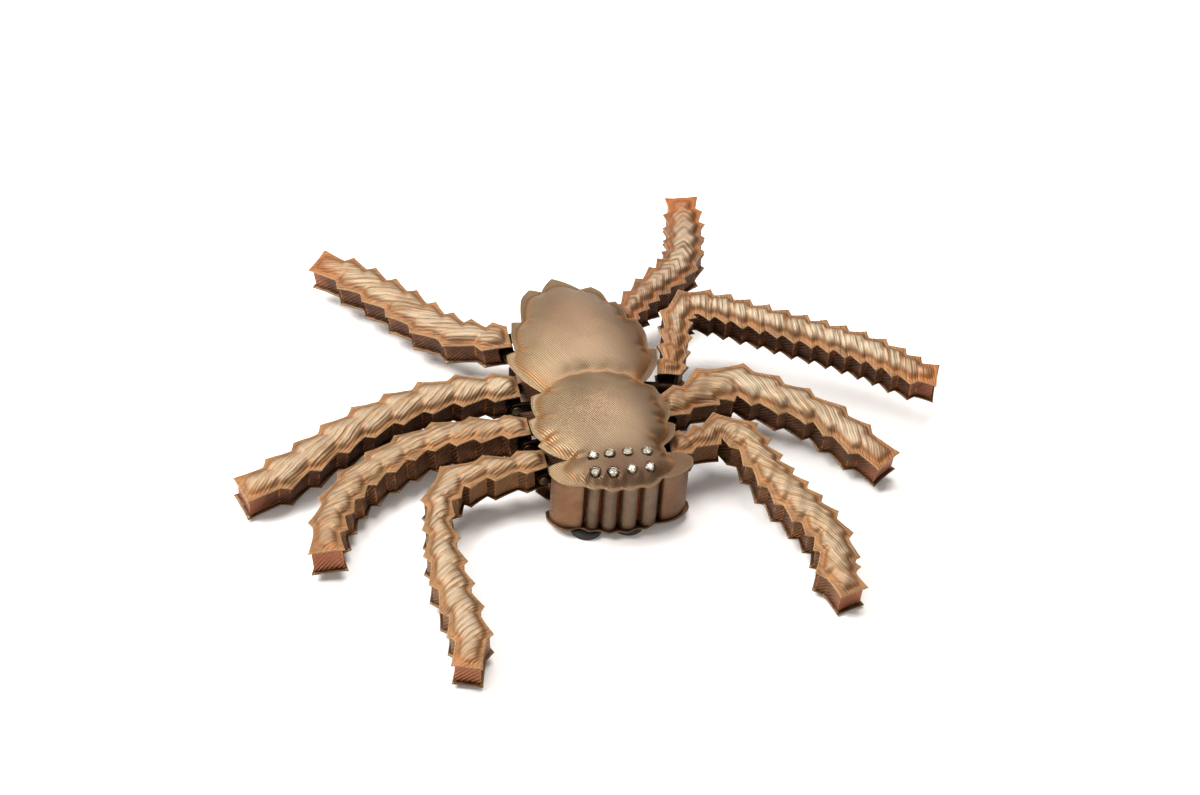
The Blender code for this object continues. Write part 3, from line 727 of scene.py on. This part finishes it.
def slab(verts, tris, rim, top, thickness, edge=0.14):
    """Sheet of even thickness under the heights top, with a softened rim.

    Returns points, faces and the source point of each one.
    """
    count = len(verts)
    flat = np.array(verts, float)
    loop = flat[:rim]
    out, sign = outward(loop)
    inner = flat.copy()
    inner[:rim] -= out * edge
    low = top - thickness
    rows = [np.column_stack([inner, top]), np.column_stack([inner, low]),
            np.column_stack([loop, top[:rim] - edge]),
            np.column_stack([loop, low[:rim] + edge])]
    points = np.vstack(rows)
    source = np.concatenate([np.arange(count), np.arange(count), np.arange(rim),
                             np.arange(rim)])
    faces = [tuple(t) for t in tris] + [tuple(t[::-1] + count) for t in tris]
    upper, lower = 2 * count, 2 * count + rim
    for i in range(rim):
        j = (i + 1) % rim
        for a, b in ((0, upper), (upper, lower), (lower, count)):
            quad = (a + i, b + i, b + j, a + j)
            faces.append(quad if sign > 0 else quad[::-1])
    return points, faces, source


def notches(outline):
    """The corners where the clockwise outline turns outwards, with their inward way."""
    found = []
    n = len(outline)
    for i in range(n):
        a, p, b = (Vector(outline[k % n]) for k in (i - 1, i, i + 1))
        u, v = (p - a).normalized(), (b - p).normalized()
        if u.x * v.y - u.y * v.x > 0.3:
            found.append((p, (u - v).normalized()))
    return found


# ------------------------------------------------------------------ legs

def sample(stations, s):
    """Point, direction and half width at fraction s of a smoothed line."""
    n = len(stations) - 1
    i = min(int(s * n), n - 1)
    t = s * n - i
    p0, p1 = stations[max(i - 1, 0)], stations[i]
    p2, p3 = stations[i + 1], stations[min(i + 2, n)]
    out, slope = [], []
    for a, b, c, d in zip(p0, p1, p2, p3):
        out.append(curve(a, b, c, d, t))
        slope.append(0.5 * ((c - a) + 2 * (2 * a - 5 * b + 4 * c - d) * t
                            + 3 * (3 * b - a - 3 * c + d) * t ** 2))
    return Vector(out[:2]), Vector(slope[:2]).normalized(), out[2]


def arc_table(stations):
    """Length run at even fractions of the centre line."""
    steps = 40 * (len(stations) - 1)
    table, last, run = [], None, 0.0
    for k in range(steps + 1):
        point = sample(stations, k / steps)[0]
        run += (point - last).length if last else 0.0
        table.append((run, k / steps))
        last = point
    return table


def at_length(table, length):
    for (a, fa), (b, fb) in zip(table, table[1:]):
        if length <= b:
            return fa + (fb - fa) * max(length - a, 0.0) / max(b - a, 1e-9)
    return table[-1][1]


def leg_edge(stations, teeth):
    """Tips and notches of the saw-toothed edge as (length, side, depth)."""
    table = arc_table(stations)
    total = table[-1][0]
    edge = []
    for side, count in ((1, teeth[0]), (-1, teeth[1])):
        row = [(0.0, side, 0.6)]
        pitch = total / count
        for k in range(count):
            last = k == count - 1
            depth = TOOTH * min(1.0, 0.45 + pitch / 16)
            row.append((pitch * (k + (0.96 if last else 0.74)), side, 0.0))
            if not last:
                row.append((pitch * (k + 0.98), side, depth))
        edge += row if side == 1 else [(total - 2.2, 0, 0.0)] + row[::-1]
    line = [sample(stations, k / 120)[0] for k in range(121)]
    kept = []
    for length, side, depth in edge:
        point, along, half = sample(stations, at_length(table, length))
        reach = half - depth
        spot = point + Vector((-along.y, along.x)) * side * reach
        if min((spot - p).length for p in line) > reach - 0.4:
            kept.append((length, side, depth))
    return table, kept, total


def leg_ring(stations, edge, table, total, inset=0.0, root=0.0):
    """Corners of the saw-toothed edge, drawn in by the inset and cut at the root."""
    ring = []
    for length, side, depth in edge:
        run = max(length - (inset if length > total - 4.0 else 0.0), root)
        point, along, half = sample(stations, at_length(table, run))
        reach = half - depth * (1.0 if inset == 0 else 0.85) - inset
        spot = point + Vector((-along.y, along.x)) * side * reach
        end = stations[0][0] + root
        ring.append((end if run <= root else max(spot.x, end), spot.y))
    return ring


def flow(points, stations, table):
    """Length along, signed distance across and half width for each point."""
    steps = 240
    rows = [(sample(stations, k / steps), k / steps) for k in range(steps + 1)]
    line = np.array([tuple(r[0][0]) for r in rows])
    tangent = np.array([tuple(r[0][1]) for r in rows])
    half = np.array([r[0][2] for r in rows])
    fractions = np.array([f for _, f in table])
    run = np.interp([r[1] for r in rows], fractions, [length for length, _ in table])
    along, across, width = (np.zeros(len(points)) for _ in range(3))
    for start in range(0, len(points), 3000):
        p = points[start:start + 3000]
        gap = np.linalg.norm(p[:, None] - line, axis=2)
        near = gap.min(1)
        w = np.exp(-((gap - near[:, None]) ** 2) / 4.0)
        w /= w.sum(1)[:, None]
        mid, t = w @ line, w @ tangent
        side = np.sign(t[:, 0] * (p[:, 1] - mid[:, 1]) - t[:, 1] * (p[:, 0] - mid[:, 0]))
        cut = slice(start, start + len(p))
        along[cut], across[cut], width[cut] = w @ run, side * near, w @ half
    return along, across, width


def grain_of(kind, angle, along, across, points):
    """Distance across and along the ribs."""
    c, s = math.cos(math.radians(angle)), math.sin(math.radians(angle))
    if kind == "plane":
        u, v = points[:, 0], points[:, 1]
    elif kind == "rope":
        u, v = along, across
    else:
        return along + 0.9 * np.abs(across), across - 0.3 * along
    over, down = -u * s + v * c, u * c + v * s
    over = over + 0.5 * np.sin(down / 9.0 + u / 21.0) + 0.22 * np.sin(down / 4.1 + v / 7.0)
    return over, down


def leg_matrix(centre, turn):
    heading, droop, roll = (math.radians(v) for v in turn)
    return (Matrix.Translation(Vector(centre) * MM) @ Matrix.Rotation(heading, 4, "Z")
            @ Matrix.Rotation(droop, 4, "Y") @ Matrix.Rotation(roll, 4, "X"))


def top_plate(name, body, matrix, outline, stations, table, pitch, grain, red, crown_wear_and_shade,
              finish):
    """Blown-up crown inside a saw-toothed flange, folded at each notch, with ribs."""
    rim = divide(outline, TOP_CELL, 0.02)
    points, tris, links, n = fill(rim, TOP_CELL)
    fixed = np.arange(len(points)) < n
    u = inflate(len(points), links, fixed, 0.0, LOAD * TOP_CELL ** 2)
    along, across, width = flow(points, stations, table)
    crown = dome(u, CROWN_LOW * width, CROWN_FULL * width ** 2, CROWN_POWER, 0.02)
    edge = to_line(points, rim)
    shelf = 0.9 if name.startswith("left") else 1.4
    crown = crown * soft_step(edge, shelf, shelf + 1.8)
    fold, pucker = np.zeros(len(points)), np.zeros(len(points))
    for corner, inward in notches(outline):
        rel = points - np.array(corner)
        deep = rel @ np.array(inward)
        here = along[np.linalg.norm(rel, axis=1).argmin()]
        shift = along - here + 0.45 * deep
        near = bell(deep, 2.5, 2.0) * (np.abs(deep) < 9) * (np.abs(shift) < 9)
        fold += near * (0.5 * bell(shift, -1.6, 1.2) - 1.4 * bell(shift, 0.3, 0.9))
        pucker = np.maximum(pucker, near * bell(shift, 0.3, 1.0))
    over, down = grain_of(grain[0], grain[1], along, across, points)
    rib = np.sin(over * 2 * math.pi / grain[2] + 0.5 * np.sin(over / 5.3 + down / 19.0))
    rib = 0.75 * rib + 0.25 * np.sin(over * 2 * math.pi / (grain[2] * 0.53) + down / 11.0)
    deep = {"chevron": 0.16, "rope": 0.11, "plane": 0.18}[grain[0]]
    wave = 0.10 * np.sin(along / 3.7 + across) + 0.08 * np.sin(along / 1.9 - across * 0.7)
    swell = np.sin(2 * math.pi * along / pitch + np.sign(grain[1]) * across * 0.5)
    top = BOX_H / 2 + smoothed(crown * (LEG_RISE - 0.3 + 0.3 * swell)
                               + 0.6 * fold * np.minimum(1.0, crown * 2), links, 2)
    top = top + rib * deep * (0.35 + 0.65 * np.minimum(crown, 1.0))
    top = top + wave * np.clip(1 - crown * 4, 0, 1)
    tip = ramp(along, table[-1][0] - TIP_TINT, 14)
    # how far the crown is rubbed along the leg; where this is low, near the root, the finish
    # also paints shade
    wear_and_root_shade = crown_wear_and_shade[0] + (crown_wear_and_shade[1] - crown_wear_and_shade[0]) * ramp(along, 12, 26)
    verts, faces, source = slab(points, tris, n, top, PLATE_T)
    place(f"{name}_crown", verts, faces, finish, body, matrix, {
        "grain": (over, down, red), "shape": (edge, np.minimum(crown, 1.0), rib),
        "tones": (pucker, tip, wear_and_root_shade)},
        source, stands_for=[f"{name}_top_plate"], slot="leg_top")


def bottom_plate(name, body, matrix, outline, finish):
    """Flat saw-toothed plate, a little uneven, with a softened rim."""
    rim = divide(outline, SOLE_RIM, 0.02)
    points, tris, _, n = fill(rim, SOLE_CELL)
    top = -BOX_H / 2 + PLATE_T + 0.10 * np.sin(points[:, 0] / 5 + points[:, 1] / 4)
    verts, faces, source = slab(points, tris, n, top, PLATE_T, 0.18)
    place(f"{name}_sole", verts, faces, finish, body, matrix,
          {"plane": (*points.T, 0.0), "shape": (to_line(points, rim), 0.0, 0.0)},
          source, stands_for=[f"{name}_bottom_plate"], slot="dark_plate")


def ribbon(corners, low, high, rows, bulge, thickness, spacing):
    """Upright band round a closed line of corners: points, faces, and for each point
    its run, its height, its distance to a corner and its share of the height."""
    line = divide(corners, spacing, bulge)
    flat = np.array([tuple(p) for p in line])
    sharp = np.array([tuple(p) for p in corners])
    step = np.linalg.norm(np.roll(flat, -1, 0) - flat, axis=1)
    run = np.concatenate([[0.0], np.cumsum(step)[:-1]])
    fold = np.array([np.linalg.norm(sharp - p, axis=1).min() for p in flat])
    out, sign = outward(flat)
    n = len(flat)
    verts, keys = [], []
    heights = np.linspace(0, 1, rows)
    for share, inward in [(h, 0.0) for h in heights] + [(h, thickness) for h in (1.0, 0.0)]:
        swell = 0.12 * math.sin(math.pi * share) if inward == 0 else 0.0
        for i in range(n):
            x, y = flat[i] + out[i] * (swell * min(1.0, fold[i]) - inward)
            verts.append((x, y, low + (high - low) * share))
            keys.append((run[i], low + (high - low) * share, fold[i], share))
    return verts, wrap(rows + 2, n, sign < 0), np.array(keys)


def wall_distance(matrix, y, line):
    """How far the wall lies behind the hinge line at y."""
    start = (matrix @ Vector((0, y * MM, 0))).xy / MM
    back = -(matrix.to_3x3() @ Vector((1, 0, 0))).xy
    found = []
    for a, b in zip(line, line[1:] + line[:1]):
        run = Vector(b) - Vector(a)
        det = run.x * back.y - run.y * back.x
        off = Vector(a) - start
        if abs(det) > 1e-6:
            t = (run.x * off.y - run.y * off.x) / det
            u = (back.x * off.y - back.y * off.x) / det
            if 0 <= u <= 1 and t > 0:
                found.append(t)
    return min(found)


def tube_plate(outer, inner, y0, y1, edge=0.2):
    """Drilled plate between y0 and y1, its outer edges softened."""
    n = len(outer)
    side = 1 if y1 > y0 else -1
    mid = Vector((sum(p[0] for p in outer) / n, sum(p[1] for p in outer) / n))
    small = [tuple(Vector(p) + (mid - Vector(p)).normalized() * edge) for p in outer]
    rings = [(inner, y0), (small, y0), (outer, y0 + side * edge), (outer, y1 - side * edge),
             (small, y1), (inner, y1)]
    verts = [(x, y, z) for ring, y in rings for x, z in ring]
    return verts, wrap(len(rings), n, side > 0)


def hinge(name, body, matrix, bracket, stations, wall_line, finishes):
    """Knuckle and web on the leg, ears or boss on the body, and the pin."""
    paired = bracket == "ears"
    turned(f"{name}_knuckle", [(BORE_R, -KNUCKLE_HALF), (KNUCKLE_R, -KNUCKLE_HALF),
                               (KNUCKLE_R, KNUCKLE_HALF), (BORE_R, KNUCKLE_HALF)],
           0.3, finishes["brown"], body, matrix, slot="leg_wall")
    end = stations[0][0] + max(BAND_ROOT - stations[0][0], LEG_FLANGE) + 0.5
    half = KNUCKLE_HALF - 0.4
    rows = []
    for x, grow in ((BORE_R + 0.4, 0.0), (end - 1.2, 0.0), (end, 0.7)):
        ring = rounded([(10 + half + grow, 1.5 + grow), (10 - half - grow, 1.5 + grow),
                        (10 - half - grow, -1.5 - grow), (10 + half + grow, -1.5 - grow)], 0.5)
        rows.append([(x, y - 10, z) for y, z in ring])
    n = len(rows[0])
    verts = [p for row in rows for p in row]
    faces = [(r * n + i, (r + 1) * n + i, (r + 1) * n + (i + 1) % n, r * n + (i + 1) % n)
             for r in range(2) for i in range(n)]
    faces += [tuple(range(n)), tuple(2 * n + i for i in reversed(range(n)))]
    place(f"{name}_web", verts, faces, finishes["brown"], body, matrix, slot="leg_wall")

    near = KNUCKLE_HALF + GAP + (EAR_T + GAP if paired else 0.0)
    far = near if paired else BOSS_PIN_END
    profile = [(0, -near - HEAD_T), (HEAD_R, -near - HEAD_T), (HEAD_R, -near),
               (PIN_R, -near), (PIN_R, far)]
    profile += ([(HEAD_R, far), (HEAD_R, far + HEAD_T), (0, far + HEAD_T)] if paired
                else [(0, far)])
    turned(f"{name}_pin", profile, 0.28, finishes["steel"], "body", matrix,
           stands_for=[f"{name}_hinge_pin"], slot="pin")

    if not paired:
        start = KNUCKLE_HALF + GAP
        turned(f"{name}_boss", [(BORE_R, start), (KNUCKLE_R, start), (KNUCKLE_R, BOSS_END),
                                (0, BOSS_END), (0, far + GAP), (BORE_R, far + GAP)],
               0.3, finishes["brown"], "body", matrix, slot="body_wall")
        return
    for side, tag in ((1, "a"), (-1, "b")):
        y0 = side * (KNUCKLE_HALF + GAP)
        y1 = y0 + side * EAR_T
        reach = max(wall_distance(matrix, y, wall_line) for y in (y0, y1)) + WALL_T * 0.6
        outer, inner = [], []
        for k in range(40):
            a = 2 * math.pi * (k + 0.5) / 40
            c, s = math.cos(a), math.sin(a)
            inner.append((BORE_R * c, BORE_R * s))
            outer.append((KNUCKLE_R * c, KNUCKLE_R * s) if c > 0 else
                         (-reach * min(1.0, -c * 3.0), math.copysign(KNUCKLE_R, s)
                          * min(1.0, abs(s) * 1.5)))
        verts, faces = tube_plate(outer, inner, y0, y1)
        place(f"{name}_ear_{tag}", verts, faces, finishes["brown"], "body", matrix,
              slot="body_wall")


def build_leg(name, spec, wall_line, finishes):
    body, centre, turn, bracket, teeth, grain, red, lit, crown_wear_and_shade, stations = spec
    matrix = leg_matrix(centre, turn)
    table, edge, total = leg_edge(stations, teeth)
    outline = [Vector(p) for p in leg_ring(stations, edge, table, total)]
    top_plate(name, body, matrix, outline, stations, table, total / teeth[0], grain,
              red, crown_wear_and_shade, finishes["top"])
    bottom_plate(name, body, matrix, outline, finishes["bottom"])
    start = max(BAND_ROOT - stations[0][0], LEG_FLANGE)
    corners = [Vector(p) for p in leg_ring(stations, edge, table, total,
                                           LEG_FLANGE - 0.3, start)]
    corners = [p for i, p in enumerate(corners) if (p - corners[i - 1]).length > 0.3]
    low, high = -BOX_H / 2 + PLATE_T - 0.05, BOX_H / 2 - PLATE_T + 0.1
    verts, faces, keys = ribbon(corners, low, high, 8, 0.035, BAND_T, BAND_CELL)
    along, _, _ = flow(np.array(verts)[:, :2], stations, table)
    tip = ramp(along, total - 9, 6)
    run, height, fold, up = keys.T
    place(f"{name}_band", verts, faces, finishes["wall"], body, matrix,
          {"grain": (run, height, red), "shape": (fold, up, tip), "tones": (lit, tip, tip)},
          smooth=40, stands_for=[f"{name}_wall_band"], slot="leg_wall")
    hinge(name, body, matrix, bracket, stations, wall_line, finishes)


# ------------------------------------------------------------------ body

def build_carapace(finish):
    """Two blown-up lobes inside one scalloped flange, with holes for the settings."""
    outline = ([TAIL] + ABDOMEN_R + [WAIST_R] + HEAD_R_EDGE + BROW + HEAD_L_EDGE[::-1]
               + [WAIST_L] + ABDOMEN_L[::-1])
    rim = divide(leafy(outline), SHELL_RIM)
    crease = spline(CREASE, 12) + [Vector(CREASE[-1])]
    for i, p in enumerate(crease):
        turn = math.pi * i / (len(crease) - 1)
        p.y += 3.0 * (0.6 - abs(math.sin(6 * turn))) * abs(math.sin(turn)) ** 0.5
    points, tris, links, n = fill(rim, SHELL_CELL, crease[1:-1])
    x, y = points[:, 0], points[:, 1]
    to_crease = to_line(points, crease, closed=False)
    on_crease = to_crease < 0.05
    fixed = (np.arange(len(points)) < n) | on_crease
    head = y < np.interp(x, [p.x for p in crease], [p.y for p in crease])
    valley = np.where(on_crease, 44.0 + 14.0 * np.clip(1 - (x / 18.0) ** 2, 0, 1), 0.0)
    u = inflate(len(points), links, fixed, valley, LOAD * SHELL_CELL ** 2)
    front = ramp(-y, 64.0, 9.0) * ramp(-np.abs(x - 0.6), -19.0, 5.0)
    low = np.where(head, 26.0 * (1 - front) + 2.0, 29.0)
    full = np.where(head, 180.0, 230.0)
    crown = dome(u, low, full, np.where(head, 0.5, 0.45), 0.01)
    edge = to_line(points, rim)
    crown = crown * soft_step(edge, 1.2, 3.2)
    height = crown * np.where(head, HEAD_RISE, ABDOMEN_RISE)
    pucker, pinch = np.zeros(len(points)), np.zeros(len(points))
    for corner, inward in notches(outline):
        rel = points - np.array(corner)
        deep = rel @ np.array(inward)
        wide = np.abs(rel @ np.array((-inward.y, inward.x)))
        pucker = np.maximum(pucker, bell(wide, 0, 1.3) * bell(deep, 3.0, 2.4))
        pinch += bell(deep, 3.4, 2.2) * (2.2 * bell(wide, 0, 1.1) - 1.4 * bell(wide, 0, 2.6))
    height = smoothed(height + pinch, links, 2)
    wave = 0.12 * np.sin(x / 2.1 + y / 3.3) * np.clip(1 - crown * 5, 0, 1)
    top = CARAPACE_Z + SHEET + height + wave

    flange_line = bell(crown, 0.14, 0.16) * soft_step(crown, 0.01, 0.1)
    orange = np.maximum(flange_line * (1 - 0.8 * front), 0.6 * bell(to_crease, 0, 0.8))
    pink = np.maximum(bell(x, 0, 15) * bell(y, 12, 19), 0.6 * bell(x, 0, 12) * bell(y, -42, 12))
    eyes = np.array(EYES)
    gap = np.linalg.norm(points[:, None] - eyes, axis=2).min(1)
    dark = np.maximum(bell(x, 1.5, 18) * np.exp(-np.abs((y + 74.5) / 11) ** 3),
                      bell(gap, 0, math.sqrt(12)))

    seats = [float(top[np.linalg.norm(points - e, axis=1).argmin()]) for e in eyes]
    tris = tris[(gap[tris] > TUBE_R - 0.1).all(1)]
    verts, faces, source = slab(points, tris, n, top, SHEET, 0.2)
    place("carapace", verts, faces, finish, "body", attributes={
        "plane": (x, y, top), "shape": (edge, np.minimum(crown, 1), orange),
        "tones": (pink, dark, pucker * (1 - 0.8 * front))},
        source=source, stands_for=["carapace_plate"], slot="carapace")
    return outline, seats


def build_wall(finish):
    """Upright ring with rounded flutes between sharp grooves across the brow."""
    grooves = range(0, len(FLUTES), 4)
    runs = [WALL_R + [FLUTES[0]]] + [FLUTES[i:i + 5] for i in grooves[:-1]]
    runs += [[FLUTES[-1]] + WALL_L[::-1] + [WALL_R[0]]]
    line = []
    for run in runs:
        line += spline(run, 8)
    flat = np.array([tuple(p) for p in line])
    keep = np.linalg.norm(flat - np.roll(flat, 1, 0), axis=1) > 0.05
    line = [p for p, k in zip(line, keep) if k]
    verts, faces, keys = ribbon(line, BELLY_Z + BELLY_T - 0.1, CARAPACE_Z + 0.3, 14, 0.0,
                                WALL_T, WALL_CELL)
    flat = np.array(verts)[:, :2]
    sharp = np.array([FLUTES[i] for i in grooves])
    groove = np.array([np.linalg.norm(sharp - p, axis=1).min() for p in flat])
    front = ramp(-flat[:, 1], 75, 2) * ramp(-np.abs(flat[:, 0] - 1.8), -17.5, 4.0)
    run, height, _, up = keys.T
    place("wall", verts, faces, finish, "body", attributes={
        "grain": (run, height, flat[:, 0]), "shape": (groove, up, front)},
        smooth=45, stands_for=["body_wall"], slot="body_wall")


def build_belly(outline, finish):
    outline = [(x, y + BELLY_BACK * (abs(x) < 15 and y < BROW_Y)) for x, y in outline]
    rim = divide(leafy(outline), SOLE_RIM)
    points, tris, _, n = fill(rim, BELLY_CELL)
    edge = to_line(points, rim)
    top = (BELLY_Z + BELLY_T + 0.35 * np.clip(1 - edge / 1.6, 0, 1)
           + 0.12 * np.sin(points[:, 0] / 4 + points[:, 1] / 6))
    verts, faces, source = slab(points, tris, n, top, BELLY_T, 0.22)
    place("belly", verts, faces, finish, "body",
          attributes={"plane": (*points.T, 0.0), "shape": (edge, 0.0, 0.0)},
          source=source, stands_for=["belly_plate"], slot="dark_plate")


def brilliant(radius):
    """Faceted stone: table, crown and pavilion facets, girdle."""
    rings = [(0.56, 0.34, 0.0), (0.80, 0.20, 0.5), (1.0, 0.04, 0.0), (1.0, -0.04, 0.0),
             (0.52, -0.42, 0.5)]
    verts, faces = [], []
    for r, z, shift in rings:
        for k in range(8):
            a = 2 * math.pi * (k + shift) / 8
            verts.append((r * radius * math.cos(a), r * radius * math.sin(a), z * radius))
    tip = len(verts)
    verts.append((0, 0, -0.78 * radius))
    faces.append(tuple(range(8)))
    for r in range(4):
        lead = rings[r][2], rings[r + 1][2]
        for k in range(8):
            j = (k + 1) % 8
            a, b, c, d = r * 8 + k, r * 8 + j, r * 8 + 8 + k, r * 8 + 8 + j
            if lead == (0.0, 0.0):
                faces.append((a, c, d, b))
            elif lead[1] > lead[0]:
                faces += [(a, c, b), (b, c, d)]
            else:
                faces += [(a, c, d), (a, d, b)]
    faces += [(32 + k, tip, 32 + (k + 1) % 8) for k in range(8)]
    return verts, faces


def build_eyes(seats, tube_finish, finish):
    for i, ((x, y), seat) in enumerate(zip(EYES, seats)):
        low, high = seat - 2.2, seat + 0.75
        profile = [(0, low), (TUBE_R, low), (TUBE_R, high), (TUBE_BORE, high),
                   (TUBE_BORE - 0.1, high - 0.7), (SEAT_BORE, high - 1.3), (0, high - 2.0)]
        turned(f"eye_setting_{i + 1}", profile, 0.16, tube_finish, "body", sides=40,
               axis="Z", centre=(x, y), stands_for=[f"eye_tube_{i + 1}"], slot="eye_tube")
        verts, faces = brilliant(STONE_R)
        turn = (Matrix.Translation(Vector((x, y, high - 0.28)) * MM)
                @ Matrix.Rotation(0.9 * i, 4, "Z") @ Matrix.Rotation(0.10, 4, "X"))
        place(f"eye_gem_{i + 1}", verts, faces, finish, "body", turn, smooth=5,
              stands_for=[f"eye_stone_{i + 1}"], slot="stone")


def build_feet(finish):
    for i, spot in enumerate(FEET):
        high = FEET_TOP + 0.15
        turned(f"foot_{i + 1}", [(0, 0), (FOOT_R - 0.2, 0), (FOOT_R, high), (0, high)], 0.7,
               finish, "body", sides=56, axis="Z", centre=spot, steps=5,
               stands_for=[f"rubber_foot_{i + 1}"], slot="rubber")


# ------------------------------------------------------------------ studio

def build_studio():
    """White paper floor, warm pale surround, three soft lamps and the camera."""
    mesh = bpy.data.meshes.new("floor")
    mesh.from_pydata([(x * FLOOR, y * FLOOR, 0) for x, y in
                      ((-1, -1), (1, -1), (1, 1), (-1, 1))], [], [(0, 1, 2, 3)])
    floor = add(bpy.data.objects.new("floor", mesh))
    f = Finish("paper", 0.85, 0.0)
    grain = f.noise(f.spot(), 40.0, 2)
    f.shader.inputs["Emission Color"].default_value = (1.0, 0.96, 0.93, 1.0)
    f.shader.inputs["Emission Strength"].default_value = 0.08
    mesh.materials.append(f.finish(f.mix(grain, (0.94, 0.90, 0.87, 1), (0.96, 0.92, 0.89, 1))))

    world = bpy.data.worlds.new("studio")
    bpy.context.scene.world = world
    world.use_nodes = True
    sky = world.node_tree.nodes["Background"]
    sky.inputs["Color"].default_value = (1.0, 0.935, 0.87, 1.0)
    sky.inputs["Strength"].default_value = 0.31
    for name, spot, size, power in LAMPS:
        light = bpy.data.lights.new(name, "AREA")
        light.shape, light.size, light.energy = "DISK", size, power
        lamp = add(bpy.data.objects.new(name, light))
        lamp.location = spot
        lamp.rotation_mode = "QUATERNION"
        lamp.rotation_quaternion = (-Vector(spot)).to_track_quat("-Z", "Y")

    elevation, azimuth, roll = (math.radians(v) for v in (ELEVATION, AZIMUTH, ROLL))
    back = Vector((math.sin(azimuth) * math.cos(elevation),
                   -math.cos(azimuth) * math.cos(elevation), math.sin(elevation)))
    right = (-back).cross(Vector((0, 0, 1))).normalized()
    up = right.cross(-back)
    side = right * math.cos(roll) + up * math.sin(roll)
    above = up * math.cos(roll) - right * math.sin(roll)
    view = Matrix((side, above, back)).transposed().to_4x4()
    view.translation = Vector(TARGET) + back * DISTANCE
    lens = bpy.data.cameras.new("camera")
    lens.sensor_width, lens.lens = SENSOR, LENS
    camera = add(bpy.data.objects.new("camera", lens))
    camera.matrix_world = view
    bpy.context.scene.camera = camera
    bpy.context.scene.view_settings.view_transform = "Standard"


def main():
    finishes = {
        "top": leg_top_finish(), "wall": leg_wall_finish(), "bottom": bottom_finish(),
        # painted shade: pin and hinge colours are kept near black to stand for the dark gap
        # between each leg root and the body
        "steel": metal_finish("worn_pin", (88, 72, 56), (50, 38, 28), 0.4, 500.0),
        "brown": metal_finish("dark_hinge", (46, 30, 20), (24, 15, 10), 0.5, 350.0)}
    build_studio()
    wall_line = WALL_R + FLUTES + WALL_L[::-1]
    for name, spec in LEGS.items():
        build_leg(name, spec, wall_line, finishes)
    outline, seats = build_carapace(carapace_finish())
    build_wall(body_wall_finish())
    build_belly(outline, finishes["bottom"])
    build_eyes(seats, metal_finish("setting", (170, 156, 132), (96, 80, 60),
                                   0.25, 700.0), stone_finish())
    build_feet(rubber_finish())


main()
